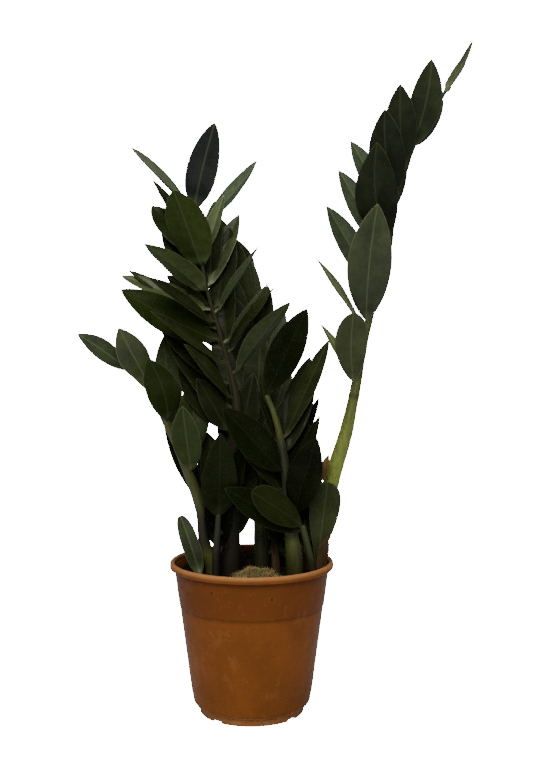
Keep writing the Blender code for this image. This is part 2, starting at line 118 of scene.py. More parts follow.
# Leaflets: name, stem, height on the stem in cm, tip in cm, width in cm, turn in degrees.
# END is a leaf that ends its stem.
# A turn of 0 shows the upper face to the front, 90 turns it to the right of the leaf's own line and 180
# turns it to the back.
END = None
LEAVES = [
    ("right_leaf_1", "right_stem", END, (22.9, 3, 69.3), 2.4, -70),
    ("right_leaf_2", "right_stem", 58.4, (18.3, 0.5, 66.9), 3.3, -10),
    ("right_leaf_3", "right_stem", 56.4, (15, -0.5, 64.2), 3.4, 5),
    ("right_leaf_4", "right_stem", 53.4, (13.4, -1, 61.6), 3.9, 8),
    ("right_leaf_5", "right_stem", 48.8, (12.6, -1.5, 58.2), 4.5, 5),
    ("right_leaf_6", "right_stem", 40.2, (12.8, -0.5, 52.2), 4.6, 0),
    ("right_leaf_7", "right_stem", 33.7, (10.4, -0.5, 41.2), 3.4, 0),
    ("right_leaf_8", "right_stem", 51.6, (10.5, 7, 59.7), 2.6, 150),
    ("right_leaf_9", "right_stem", 47.6, (9.2, 7, 56.6), 2.8, 150),
    ("right_leaf_10", "right_stem", 43.8, (7.9, 6.5, 52.7), 2.9, 150),
    ("right_leaf_11", "right_stem", 39.5, (6.8, 6, 47.1), 2.2, 66),
    ("right_leaf_12", "right_stem", 34.4, (7.2, 5, 40.1), 1.6, 50),
    ("centre_leaf_1", "centre_stem", END, (-3.5, -4, 59.7), 3.3, 0),
    ("centre_leaf_2", "centre_stem", 51.5, (-12.6, 2.5, 58.3), 2.6, 110),
    ("centre_leaf_3", "centre_stem", 50.1, (0.6, 2, 56.9), 2.6, -116),
    ("centre_leaf_4", "centre_stem", 45.9, (-7.4, -6, 52.9), 4.2, 165),
    ("centre_leaf_5", "centre_stem", 46.5, (-10.5, 3.5, 52.4), 3.4, 35),
    ("centre_leaf_6", "centre_stem", 43.5, (-10.4, -5, 47.9), 3.2, 130),
    ("centre_leaf_7", "centre_stem", 47.0, (-2.7, -1.2, 53), 2, -130),
    ("centre_leaf_8", "centre_stem", 43.8, (-1.3, 2, 51.4), 2.8, -35),
    ("centre_leaf_9", "centre_stem", 41.2, (0.9, -4, 47.8), 2.6, -105),
    ("centre_leaf_10", "centre_stem", 38.1, (2.3, -5, 44.5), 2.2, -95),
    ("centre_leaf_11", "centre_stem", 35, (3.9, -5.5, 42.2), 3.2, -125),
    ("centre_leaf_12", "centre_stem", 41.5, (-13.8, 3.5, 45.1), 3, 55),
    ("centre_leaf_13", "centre_stem", 38.5, (-13.1, -2, 43.5), 3.9, 30),
    ("centre_leaf_14", "centre_stem", 40.3, (-10, -5.5, 44.6), 2.4, 65),
    ("centre_leaf_15", "centre_stem", 36.1, (-9.6, -7, 41.3), 2.4, 70),
    ("centre_leaf_16", "centre_stem", 32.5, (-6.5, -5.5, 38.1), 2.4, 65),
    ("back_leaf_1", "back_stem", 43.4, (-2.1, 4.5, 49.2), 3.4, 0),
    ("back_leaf_2", "back_stem", 35.9, (1.7, 3.5, 44.1), 3.2, -30),
    ("back_leaf_3", "back_stem", 33.8, (-2.6, 3, 43.5), 3.4, 20),
    ("left_leaf_1", "left_stem", END, (-16.8, -6, 39.1), 2.4, 40),
    ("left_leaf_2", "left_stem", 34.1, (-12.7, -6.5, 39.7), 3, 10),
    ("left_leaf_3", "left_stem", 30.4, (-9.8, -7, 36.8), 3.4, 0),
    ("left_leaf_4", "left_stem", 25.1, (-6.6, -6, 32.1), 3, -10),
    ("left_leaf_5", "left_stem", 29.6, (-9.2, 2, 38.8), 3, 170),
    ("middle_leaf_1", "middle_stem", END, (5.6, -3, 41.6), 3.4, -10),
    ("middle_leaf_2", "middle_stem", 28.4, (8, 1, 38.4), 2.6, -45),
    ("middle_leaf_3", "middle_stem", 25.2, (-2.7, -6, 31.9), 3.5, 20),
    ("middle_leaf_4", "middle_stem", 24.7, (7, 1.5, 32.4), 2.2, -60),
    ("middle_leaf_5", "middle_stem", 22.7, (6.9, -4, 31), 2.2, -58),
    ("middle_leaf_6", "middle_stem", 20.8, (6.5, -6, 29), 3.6, -20),
    ("front_left_leaf_1", "front_left_stem", END, (-3, -5, 29.4), 2.5, 10),
    ("front_left_leaf_2", "front_left_stem", 18.6, (-0.8, -1, 28.1), 2.4, -30),
    ("front_right_leaf_1", "front_right_stem", END, (0.1, -6, 23.7), 3.3, 30),
]

# Small leaves and dry scales that rise from the soil or hug a stem: name, foot, tip, width (cm), turn.
SHOOTS = [
    ("young_leaf_right", (6.6, -0.9, 14.35), (7.8, -1.1, 23.9), 3.2, -5),
    ("young_leaf_left", (-5.3, -0.9, 14.35), (-7.3, -1.3, 20.5), 1.7, 20),
    ("dry_sheath", (6.9, -1.5, 14.35), (7.8, -1.9, 18.6), 1.2, -20),
    ("dry_scale", (7.3, 0.8, 23.9), (8.0, 0.4, 26.6), 0.9, -40),
]

# Leaves with a rounder end: how fast the blade widens from its foot, and how fast it narrows to its end.
ROUND_BLADES = {
    "right_leaf_7": (0.85, 0.5),
    "young_leaf_right": (1.4, 0.4),
    "young_leaf_left": (1.0, 0.4),
}
# Changes to how single leaflets are grown.
LEAF_CHANGES = {
    "right_leaf_1": {"Bow": -0.05, "Stalk": 2 * MM, "Rise": 0.3, "Point": 0.6},
    "centre_leaf_1": {"Rise": 0.5, "Point": 0.7, "Width": 3.1 * CM},
    "centre_leaf_3": {"Bow": -0.045},
    "centre_leaf_4": {"Rise": 0.62, "Point": 0.72, "Width": 4.25 * CM},
    "centre_leaf_6": {"Rise": 0.6, "Width": 3.5 * CM},
    "front_right_leaf_1": {"Rise": 0.85, "Point": 0.55},
    "front_left_leaf_1": {"Rise": 0.5, "Width": 3.7 * CM},
    "front_left_leaf_3": {"Rise": 0.5},
    "young_leaf_left": {"Rise": 0.45, "Width": 1.9 * CM, "Stalk": 8 * MM},
    "young_leaf_right": {"Stalk": 5 * MM},
}
# Leaves that curve sideways, by so many cm at mid length.
SWAY = {
    "right_leaf_2": 0.45, "right_leaf_3": -0.2, "right_leaf_4": -0.5, "right_leaf_5": -0.8,
    "right_leaf_6": -0.3, "right_leaf_7": -0.3, "centre_leaf_1": -0.1, "centre_leaf_13": -0.4,
    "left_leaf_3": 0.5,
}

# Leaflets that only the looks need: the same columns as LEAVES.
MORE_LEAVES = [
    ("right_rear_leaf", "right_stem", 58.8, (20.1, 4.4, 63.6), 1.5, 160),
    ("right_rear_leaf_2", "right_stem", 54, (16.8, 4.3, 60), 1.3, 10),
    ("right_rear_leaf_3", "right_stem", 51.5, (15.9, 4.3, 58.6), 2, 5),
    ("centre_rear_leaf_1", "centre_stem", 47.2, (-10.4, 3, 55.1), 2.2, 60),
    ("centre_rear_leaf_2", "centre_stem", 39.5, (-13.1, 4, 45.7), 2.6, 60),
    ("centre_rear_leaf_3", "centre_stem", 40.5, (-9, 3, 45.1), 2.6, 140),
    ("centre_rear_leaf_4", "centre_stem", 37, (2.5, 4, 44), 2.8, -70),
    ("centre_inner_leaf_1", "centre_stem", 30.5, (-7.3, -1, 36.8), 3, 40),
    ("centre_inner_leaf_2", "centre_stem", 29, (-5.5, -2, 34.6), 2.6, 30),
    ("back_rear_leaf_1", "back_stem", 39, (-1.5, 5.5, 48.5), 3.8, -10),
    ("back_rear_leaf_2", "back_stem", 29.7, (1, 1, 39), 3.2, -5),
    ("back_rear_leaf_3", "back_stem", 34.5, (3.2, 8.6, 42), 3.2, 175),
    ("back_rear_leaf_4", "back_stem", 31, (-4.4, 8, 39.5), 3.2, -170),
    ("back_rear_leaf_5", "back_stem", 27, (4, 8, 35.5), 3, 170),
    ("back_rear_leaf_6", "back_stem", 40.5, (-4, 8.6, 47.5), 2.8, 165),
    ("back_inner_leaf", "back_stem", 30, (1.4, 1.5, 38.5), 2.8, -5),
    ("left_low_leaf", "left_stem", 22.3, (-9.1, 0.8, 31.2), 2, 20),
    ("left_rear_leaf_1", "left_stem", 33.1, (-15.6, 1, 38.4), 2.4, 120),
    ("left_rear_leaf_2", "left_stem", 25.6, (-5.1, 1, 33), 2.2, -100),
    ("left_inner_leaf", "left_stem", 26, (-5.8, 0.5, 34.6), 3.4, 20),
    ("middle_small_leaf_1", "middle_stem", 28.2, (0.5, -2.8, 33.6), 1.4, 60),
    ("middle_small_leaf_2", "middle_stem", 23.2, (-0.9, -3, 27.1), 2.2, 65),
    ("middle_inner_leaf", "middle_stem", 27, (6, 1.5, 36.6), 3, -10),
    ("middle_inner_leaf_2", "middle_stem", 21.5, (5.2, 0.8, 31.5), 3.2, -10),
    ("middle_rear_leaf_1", "middle_stem", 16.2, (2, 1.5, 23.5), 3.4, 10),
    ("middle_rear_leaf_2", "middle_stem", 16.5, (6.6, 1.5, 25), 3.4, -10),
    ("back_inner_leaf_3", "back_stem", 39.5, (-3.2, 3, 51), 3.2, 0),
    ("back_inner_leaf_4", "back_stem", 35, (-3.8, 3.5, 47.5), 3.4, 10),
    ("centre_inner_leaf_4", "centre_stem", 41.5, (-2.2, 1, 50), 3, -20),
    ("centre_inner_leaf_5", "centre_stem", 34, (-9.6, -2, 40.4), 2.8, 40),
    ("centre_inner_leaf_6", "centre_stem", 29, (-7.6, 0, 35.6), 3.2, 30),
    ("centre_inner_leaf_7", "centre_stem", 37.5, (-3.3, 2.5, 48), 2.8, -10),
    ("centre_inner_leaf_8", "centre_stem", 43.5, (-3.9, 2.5, 52.8), 2.4, -10),
    ("centre_inner_leaf_9", "centre_stem", 38.4, (-6.8, 2.5, 45.6), 2.6, 20),
    ("front_left_leaf_3", "front_left_stem", 17.5, (-2.6, -1.8, 28.4), 3.2, -20),
    ("front_right_leaf_2", "front_right_stem", 19.2, (-2.6, -4.6, 23.8), 3.2, 30),
    ("back_inner_leaf_2", "back_stem", 23, (3.4, 3, 32), 3.2, -10),
    ("right_low_leaf", "right_stem", 17.5, (5.6, 0.5, 27.5), 3.2, 10),
    ("centre_low_leaf_1", "centre_stem", 20, (-4.6, 1, 28.8), 3.2, 20),
    ("centre_low_leaf_2", "centre_stem", 16.5, (-5.9, 1.5, 25.5), 3, 20),
    ("centre_inner_leaf_3", "centre_stem", 31.5, (-8.6, -1, 38.5), 3, 40),
    ("centre_low_leaf_3", "centre_stem", 18, (-0.3, 1.5, 28), 3, -10),
    ("middle_rear_leaf_4", "middle_stem", 15.6, (2.5, 1, 22), 2.4, 10),
    ("centre_low_leaf_5", "centre_stem", 25, (-2.7, 2.5, 34.5), 2.2, 0),
    ("centre_low_leaf_6", "centre_stem", 19.5, (-5.2, 1.5, 29.4), 2.7, 10),
    ("back_low_leaf_2", "back_stem", 17, (1.7, 2.6, 25.6), 2, 0),
    ("centre_inner_leaf_11", "centre_stem", 44, (-9.3, 2, 49.8), 2.6, 20),
    ("back_low_leaf", "back_stem", 15.6, (2.3, 3, 21.5), 2.2, 10),
    ("centre_inner_leaf_10", "centre_stem", 37.5, (-9.5, 2, 44.4), 2.6, 30),
    ("middle_rear_leaf_3", "middle_stem", 20, (2.3, 1.5, 29.5), 2.6, 10),
    ("centre_low_leaf_4", "centre_stem", 26.5, (0.2, 1.5, 35), 3, -10),
]

# Painted light and shade, and warmth, of a leaflet where they differ from its stem's usual (light 1, warmth
# 0.5).
# Light scales a leaflet's colour to paint how lit, shaded or glinting it is; warmth shifts its hue.
LEAF_PAINTED_LIGHT_AND_WARMTH = {
    "right": (0.82, 0.2), "right_leaf_4": (0.6, 0.15), "right_leaf_5": (0.66, 0.15),
    "right_leaf_6": (1.5, 0.2), "right_leaf_7": (1.25, 0.7), "right_leaf_8": (1.1, 0),
    "right_leaf_9": (1.15, 0), "right_leaf_10": (1.15, 0), "right_leaf_1": (1.5, 0.2),
    "right_leaf_11": (3, 0.2), "right_leaf_12": (2.4, 0.6), "right_rear_leaf": (1.3, 0.3),
    "right_rear_leaf_2": (0.7, 0.15), "right_rear_leaf_3": (0.7, 0.15),
    "centre": (0.55, 0.55), "centre_leaf_1": (0.95, -0.5), "centre_leaf_2": (2.8, -0.1),
    "centre_leaf_3": (3.2, -0.2), "centre_leaf_4": (0.68, 1.08), "centre_leaf_6": (1.1, 1.1),
    "centre_leaf_7": (2.6, 0.4), "centre_leaf_8": (1.5, 0.4), "centre_leaf_9": (1.8, 0.5),
    "centre_leaf_10": (1.8, 0.5), "centre_leaf_11": (1.1, 0.7), "centre_leaf_12": (1.3, 0.6),
    "centre_leaf_13": (0.5, 1.3), "centre_inner_leaf_4": (0.5, 0.3), "centre_inner_leaf_7": (0.5, 0.3),
    "centre_inner_leaf_8": (0.5, 0.3),
    "back": (1.1, 0.35),
    "left": (0.8, 0.8), "left_leaf_1": (1.5, 0.1), "left_leaf_2": (1.3, 0.3), "left_leaf_3": (0.48, 1.5),
    "left_leaf_4": (0.85, 1.35), "left_low_leaf": (0.4, 0.2),
    "middle": (0.35, 0.5), "middle_leaf_1": (0.18, 1.05), "middle_leaf_2": (0.5, 0.6),
    "middle_leaf_3": (0.22, 1.3), "middle_leaf_6": (0.14, 0.9),
    "front": (0.22, 1.05), "front_left_leaf_1": (0.24, 1.1), "front_left_leaf_3": (0.04, 0.3),
    "front_right_leaf_1": (0.4, 0.9),
    "young_leaf_right": (0.75, 0.5), "young_leaf_left": (1.9, 0.1),
    "dry_scale": (3.5, 0.5),
}
# Painted light and shade along a stem's height, dark where the foliage shades it and light where it is lit:
# (z in cm, light).
STEM_PAINTED_LIGHT = {
    "right_stem": [
        (14, 0.04), (18.5, 0.1), (21.5, 0.42), (24, 0.53), (27.5, 0.42), (30, 0.34), (33, 0.18), (44, 0.10),
        (47, 0.02),
    ],
    "centre_stem": [(14, 0.0), (26, 0.01), (32, 0.04), (45, 0.05)],
    "back_stem": [(14, 0.05), (20, 0.09), (30, 0.06)],
    "left_stem": [(14, 0.2), (16.5, 0.26), (17.8, 0.03), (20.5, 0.03), (22, 0.11), (30, 0.12)],
    "middle_stem": [(14, 0.14), (19, 0.18), (21, 0.03), (27.5, 0.03), (29, 0.14), (33, 0.13)],
    "front_left_stem": [(14, 0.0), (21, 0.02)],
    "front_right_stem": [(14, 0.05), (20, 0.08)],
    "dry_stalk": [(14, 0.2), (20, 0.5)],
}
# How much of its solid's thickness a stem keeps along its height: (z in cm, share).
STEM_TRIMS = {"centre_stem": [(23, 1), (29, 0.68), (36, 0.54), (46, 0.62), (52, 1)]}
# How brown a stem is along its height: (z in cm, share).
STEM_BROWNING = {
    "centre_stem": [(22, 0.2), (30, 0.8), (42, 0.8), (47, 0)],
    "left_stem": [(16.5, 0), (17.5, 0.9), (20, 0.9), (21, 0)],
}
# Rings where an old sheath was fixed: (z in cm).
STEM_RINGS = {
    "right_stem": [21.4, 32.5], "middle_stem": [19.6], "left_stem": [17.6], "centre_stem": [22.0],
}
# A grown leaflet's grid: points from foot to tip, and points round it.
LEAF_ROWS = 41
LEAF_COLUMNS = 25
# How deep the foot of a leaf is sunk into the skin of its stem, and of a shoot into the soil.
LEAF_SUNK = 2.4 * MM
SHOOT_SUNK = 5 * MM


# ---------------------------------------------------------------- node trees

class Wire:
    """An output socket that can be added, multiplied and so on; each operation adds one Math node."""

    def __init__(self, tree, socket):
        self.tree = tree
        self.socket = socket

    def step(self, operation, *others):
        made = add_node(self.tree, "ShaderNodeMath", operation=operation)
        for target, value in zip(made.inputs, (self, *others)):
            feed(target, value, self.tree)
        return Wire(self.tree, made.outputs[0])

    def __add__(self, other):
        return self.step("ADD", other)

    def __sub__(self, other):
        return self.step("SUBTRACT", other)

    def __mul__(self, other):
        return self.step("MULTIPLY", other)

    def __truediv__(self, other):
        return self.step("DIVIDE", other)

    def __pow__(self, other):
        return self.step("POWER", other)

    def __rsub__(self, other):
        return self * -1 + other

    __radd__ = __add__
    __rmul__ = __mul__


def add_node(tree, kind, **settings):
    made = tree.nodes.new(kind)
    for name, value in settings.items():
        setattr(made, name, value)
    return made


def feed(target, value, tree):
    """Give an input socket a link from a wire, or a plain value."""
    if isinstance(value, Wire):
        tree.links.new(value.socket, target)
    else:
        target.default_value = value


def node_of(tree, kind, settings=None, output=0, **inputs):
    """Add a node, feed its inputs by name (a space for each underscore) and return one of its outputs."""
    made = add_node(tree, kind, **(settings or {}))
    for label, value in inputs.items():
        feed(made.inputs[label.replace("_", " ")], value, tree)
    return Wire(tree, made.outputs[output])


def vector_of(tree, operation, first, second):
    made = add_node(tree, "ShaderNodeVectorMath", operation=operation)
    feed(made.inputs[0], first, tree)
    feed(made.inputs["Scale" if operation == "SCALE" else 1], second, tree)
    return Wire(tree, made.outputs["Value" if operation == "DOT_PRODUCT" else "Vector"])


def sum_of(tree, *vectors):
    total = vectors[0]
    for vector in vectors[1:]:
        total = vector_of(tree, "ADD", total, vector)
    return total


def split(tree, vector):
    made = add_node(tree, "ShaderNodeSeparateXYZ")
    feed(made.inputs[0], vector, tree)
    return [Wire(tree, socket) for socket in made.outputs]


def join(tree, x, y, z):
    return node_of(tree, "ShaderNodeCombineXYZ", X=x, Y=y, Z=z)


def ramp(value, low, high):
    """0 below low and 1 above high, with a soft change between; low may be the larger one."""
    smooth = {"interpolation_type": "SMOOTHSTEP"}
    if isinstance(low, Wire) or isinstance(high, Wire) or low < high:
        return node_of(value.tree, "ShaderNodeMapRange", smooth, Value=value, From_Min=low, From_Max=high)
    return node_of(value.tree, "ShaderNodeMapRange", smooth, Value=value, From_Min=high, From_Max=low,
                   To_Min=1.0, To_Max=0.0)


def cloud(tree, where, scale, detail=2.0, roughness=0.5):
    """Soft noise around 0.5."""
    return node_of(tree, "ShaderNodeTexNoise", Vector=where, Scale=scale, Detail=detail,
                   Roughness=roughness)


def new_group(name, kind, inputs, outputs):
    tree = bpy.data.node_groups.new(name, kind)
    for label, socket, value in inputs:
        made = tree.interface.new_socket(label, in_out="INPUT", socket_type="NodeSocket" + socket)
        if value is not None:
            made.default_value = value
    for label, socket in outputs:
        tree.interface.new_socket(label, in_out="OUTPUT", socket_type="NodeSocket" + socket)
    given = add_node(tree, "NodeGroupInput")
    wires = {socket.name: Wire(tree, socket) for socket in given.outputs if socket.name}
    return tree, wires, add_node(tree, "NodeGroupOutput")


# ---------------------------------------------------------------- effects that the finishes share

def object_place(tree, stretch):
    """Object coordinates, scaled by stretch."""
    place = add_node(tree, "ShaderNodeTexCoord")
    return vector_of(tree, "MULTIPLY", Wire(tree, place.outputs["Object"]), stretch)


def patches_group():
    """Soft patches, such as uneven colour: 0 to 1, about one patch for each Size."""
    inputs = [("Size", "Float", 0.02), ("Stretch", "Vector", (1, 1, 1)), ("Shift", "Float", 0.0)]
    tree, given, result = new_group("soft patches", "ShaderNodeTree", inputs, [("Amount", "Float")])
    place = object_place(tree, given["Stretch"])
    place = vector_of(tree, "ADD", place, join(tree, given["Shift"], 0.0, 0.0))
    amount = ramp(cloud(tree, place, given["Size"] ** -1.0, 3.0, 0.55), 0.3, 0.7)
    feed(result.inputs["Amount"], amount, tree)
    return tree


def grain_group():
    """Fine unevenness of a surface, as a height in metres."""
    inputs = [("Size", "Float", 0.001), ("Stretch", "Vector", (1, 1, 1)), ("Depth", "Float", 0.00002)]
    tree, given, result = new_group("fine grain", "ShaderNodeTree", inputs, [("Height", "Float")])
    place = object_place(tree, given["Stretch"])
    height = (cloud(tree, place, given["Size"] ** -1.0, 2.0, 0.6) - 0.5) * given["Depth"]
    feed(result.inputs["Height"], height, tree)
    return tree


def specks_group():
    """Scattered specks, such as dust or dots in a skin: 1 in a speck, of about Size, and 0 between."""
    inputs = [("Size", "Float", 0.003), ("Stretch", "Vector", (1, 1, 1)), ("Share", "Float", 0.3)]
    tree, given, result = new_group("specks", "ShaderNodeTree", inputs, [("Amount", "Float")])
    place = object_place(tree, given["Stretch"])
    cells = add_node(tree, "ShaderNodeTexVoronoi", feature="F1")
    feed(cells.inputs["Vector"], place, tree)
    feed(cells.inputs["Scale"], given["Size"] ** -1.0, tree)
    spread = Wire(tree, cells.outputs["Distance"])
    pick = split(tree, Wire(tree, cells.outputs["Color"]))[0]
    chosen = pick.step("LESS_THAN", given["Share"])
    feed(result.inputs["Amount"], chosen * ramp(spread, 0.42, 0.22), tree)
    return tree


def leaflet_lines_group():
    """What the skin of a leaflet or a dry scale shows, from where a point lies on it."""
    outputs = [(label, "Float") for label in ("Rib", "Veins", "Margin", "Upper", "Foot")]
    inputs = [("Rib Width", "Float", 0.0012), ("Vein Gap", "Float", 0.006), ("Vein Slant", "Float", 1.5)]
    tree, given, result = new_group("leaflet lines", "ShaderNodeTree", inputs, outputs)
    reach, along, side = split(tree, attribute(tree, "blade"))
    edge = split(tree, attribute(tree, "tint"))[2]
    far = reach.step("ABSOLUTE")
    rib = 1.0 - ramp(far / given["Rib Width"], 0.25, 1.0)
    row = (along - far * given["Vein Slant"]) / given["Vein Gap"]
    wobble = cloud(tree, attribute(tree, "blade"), 60.0)
    veins = 1.0 - ramp((row + wobble).step("PINGPONG", 0.5), 0.0, 0.16)
    feed(result.inputs["Rib"], rib, tree)
    feed(result.inputs["Veins"], veins * ramp(far, 0.0, 0.002), tree)
    feed(result.inputs["Margin"], 1.0 - ramp(edge, 0.2 * MM, 1.0 * MM), tree)
    feed(result.inputs["Upper"], ramp(side, -0.08, 0.08), tree)
    feed(result.inputs["Foot"], 1.0 - ramp(along, 0.003, 0.014), tree)
    return tree


def attribute(tree, name):
    made = add_node(tree, "ShaderNodeAttribute", attribute_name=name)
    return Wire(tree, made.outputs["Vector"])


GROUPS = {
    "patches": patches_group(),
    "grain": grain_group(),
    "specks": specks_group(),
    "leaflet_lines": leaflet_lines_group(),
}


def use_group(tree, name, **inputs):
    """Place a shared effect with its own values and return its outputs by name."""
    made = add_node(tree, "ShaderNodeGroup", node_tree=GROUPS[name])
    for label, value in inputs.items():
        feed(made.inputs[label.replace("_", " ")], value, tree)
    return {socket.name: Wire(tree, socket) for socket in made.outputs}


# ---------------------------------------------------------------- finishes

def tint(factor, first, second, mode="MIX"):
    """Blend two colours (each a wire or a plain colour) by a factor."""
    tree = factor.tree
    made = add_node(tree, "ShaderNodeMix", data_type="RGBA", blend_type=mode)
    colours = [socket for socket in made.inputs if socket.type == "RGBA"]
    feed(made.inputs[0], factor, tree)
    for target, colour in zip(colours, (first, second)):
        feed(target, colour if isinstance(colour, Wire) else (*colour, 1), tree)
    return Wire(tree, next(socket for socket in made.outputs if socket.type == "RGBA"))


def brighten(colour, amount):
    """A colour times a plain amount."""
    return vector_of(colour.tree, "SCALE", colour, amount)


def finish_of(name, viewport, **settings):
    """A Principled material; settings are the constants on its sockets."""
    made = bpy.data.materials.new(name)
    made.use_nodes = True
    made.diffuse_color = (*viewport, 1)
    shader = made.node_tree.nodes["Principled BSDF"]
    for label, value in settings.items():
        shader.inputs[label.replace("_", " ")].default_value = value
    return made, made.node_tree, shader


def set_height(tree, shader, height):
    """Bump from a height in metres."""
    bump = add_node(tree, "ShaderNodeBump")
    bump.inputs["Strength"].default_value = 1.0
    bump.inputs["Distance"].default_value = 1.0
    feed(bump.inputs["Height"], height, tree)
    tree.links.new(bump.outputs["Normal"], shader.inputs["Normal"])


LEAF_COLD = (0.0082, 0.0096, 0.0088)
LEAF_WARM = (0.0240, 0.0315, 0.0078)
LEAF_UNDER = (0.026, 0.034, 0.020)
LEAF_GREEN = (0.0185, 0.0300, 0.0038)
LEAF_UNDER_WARM = (0.030, 0.040, 0.012)
LEAF_UNDER_GREEN = (0.022, 0.036, 0.005)
LEAF_PALE = (0.085, 0.097, 0.045)
LEAF_DUST = (0.3, 0.3, 0.27)


def leaf_finish():
    made, tree, shader = finish_of("leaf_skin", LEAF_WARM, IOR=1.4, Coat_Roughness=0.22)
    # light is the leaflet's painted light and shade; warmth shifts its hue.
    light, warmth, _ = split(tree, attribute(tree, "tint"))
    reach = split(tree, attribute(tree, "blade"))[0]
    lines = use_group(tree, "leaflet_lines", Rib_Width=0.0014, Vein_Gap=0.0055, Vein_Slant=1.6)
    broad = use_group(tree, "patches", Size=0.028)["Amount"]
    small = use_group(tree, "patches", Size=0.006, Shift=4.0)["Amount"]
    dust = use_group(tree, "specks", Size=0.0016, Share=0.12)["Amount"]
    tone = warmth * 0.85 + (broad - 0.5) * 0.2 + (0.5 - reach) * 0.7
    greener = ramp(warmth + (0.5 - reach) * 0.8, 1.0, 2.0)
    colour = tint(greener, tint(tone, LEAF_COLD, LEAF_WARM), LEAF_GREEN)
    # Painted light and shade: the upper colour is scaled by the leaflet's light.
    colour = brighten(colour, light * (0.75 + broad * 0.35 + small * 0.2))
    colour = tint(lines["Veins"] * 0.05, colour, LEAF_PALE)
    pale = tint(small * 0.3, LEAF_PALE, LEAF_UNDER)
    under = tint(greener, tint(tone, LEAF_UNDER, LEAF_UNDER_WARM), LEAF_UNDER_GREEN)
    # The same painted light and shade on the underside's colour.
    under = brighten(under, light * (0.8 + small * 0.3 + broad * 0.15))
    colour = tint(lines["Upper"], under, colour)
    colour = tint(lines["Rib"] * 0.32 + lines["Foot"] * 0.35, colour, brighten(pale, light))
    # Pale margin: partly the blade's own paler edge, partly a painted highlight along the rim, scaled by
    # the painted light.
    colour = tint(lines["Margin"] * 0.7, colour, brighten(pale, light * 1.3))
    colour = tint(dust * 0.04, colour, LEAF_DUST)
    feed(shader.inputs["Base Color"], colour, tree)
    feed(shader.inputs["Roughness"], 0.60 - lines["Upper"] * 0.24 + small * 0.10 + dust * 0.2, tree)
    feed(shader.inputs["Coat Weight"], lines["Upper"] * (0.02 + broad * 0.04), tree)
    feed(shader.inputs["Specular IOR Level"], ramp(light, 0.4, 1.6) * 0.26, tree)
    grain = use_group(tree, "grain", Size=0.0007, Depth=0.00002)["Height"]
    swell = use_group(tree, "grain", Size=0.011, Depth=0.0007)["Height"]
    groove = lines["Rib"] * (0.5 - lines["Upper"]) * 0.0006
    set_height(tree, shader, grain + swell + groove - lines["Veins"] * 0.00006)
    return made


STEM_DARK = (0.014, 0.0145, 0.009)
STEM_BRIGHT = (0.26, 0.31, 0.050)
STEM_BROWN = (0.017, 0.0115, 0.0065)
PAPERY_DARK = (0.014, 0.008, 0.005)
PAPERY_TAN = (0.06, 0.034, 0.016)


def stem_finish():
    made, tree, shader = finish_of("stem_skin", STEM_BRIGHT, IOR=1.45, Coat_Roughness=0.25,
                                   Specular_IOR_Level=0.15)
    light, ring, dry = split(tree, attribute(tree, "stem"))
    along = (1, 1, 0.18)
    streaks = use_group(tree, "patches", Size=0.0035, Stretch=along)["Amount"]
    broad = use_group(tree, "patches", Size=0.016, Stretch=(1, 1, 0.5), Shift=7.0)["Amount"]
    dots = use_group(tree, "specks", Size=0.0026, Stretch=(1, 1, 0.6), Share=0.4)["Amount"]
    # Painted light and shade: the light mark runs the colour from the dark end where shaded to the bright
    # end where lit.
    colour = tint(light * (0.72 + streaks * 0.3 + broad * 0.15), STEM_DARK, STEM_BRIGHT)
    colour = tint(dots * 0.35, colour, STEM_DARK)
    colour = tint(ring * (0.5 + broad * 0.4), colour, STEM_BROWN)
    height = split(tree, node_of(tree, "ShaderNodeTexCoord", output=3))[2]
    colour = tint((1.0 - ramp(height, 0.150, 0.178)) * (0.35 + broad * 0.45), colour, STEM_BROWN)
    papery = tint(streaks, PAPERY_DARK, PAPERY_TAN)
    colour = tint(dry, colour, papery)
    feed(shader.inputs["Base Color"], colour, tree)
    feed(shader.inputs["Roughness"], 0.36 + streaks * 0.16 + dry * 0.35, tree)
    feed(shader.inputs["Coat Weight"], 0.04 - dry * 0.04, tree)
    fibre = use_group(tree, "grain", Size=0.0011, Stretch=(1, 1, 0.1), Depth=0.00012)["Height"]
    set_height(tree, shader, fibre * (1.0 + dry * 3.0) - dots * 0.00005 + ring * streaks * 0.0003)
    return made


DRY_DARK = (0.012, 0.007, 0.003)
DRY_TAN = (0.068, 0.041, 0.015)


def dry_finish():
    made, tree, shader = finish_of("dry_scale", DRY_TAN, Specular_IOR_Level=0.12)
    light = split(tree, attribute(tree, "tint"))[0]
    lines = use_group(tree, "leaflet_lines", Rib_Width=0.0009, Vein_Gap=0.0016, Vein_Slant=0.2)
    broad = use_group(tree, "patches", Size=0.007, Stretch=(1, 1, 0.4))["Amount"]
    reach, along, _ = split(tree, attribute(tree, "blade"))
    fibres = cloud(tree, join(tree, reach * 1500.0, along * 90.0, 0.0), 1.0, 3.0, 0.6)
    colour = tint(ramp(fibres, 0.35, 0.65) * 0.6 + broad * 0.4, DRY_DARK, DRY_TAN)
    colour = tint(lines["Margin"] * 0.5, brighten(colour, light), DRY_TAN)
    feed(shader.inputs["Base Color"], colour, tree)
    feed(shader.inputs["Roughness"], 0.72 + broad * 0.2, tree)
    set_height(tree, shader, fibres * 0.0004 + lines["Rib"] * 0.0003)
    return made


POT_CLAY = (0.137, 0.0430, 0.0078)
POT_DEEP = (0.101, 0.0305, 0.0056)
POT_CHALK_AND_HIGHLIGHT = (0.46, 0.22, 0.085)
POT_SHADE = (0.055, 0.0135, 0.0018)
POT_GRIME = (0.09, 0.05, 0.03)
POT_INNER_SHADE = (0.012, 0.008, 0.005)


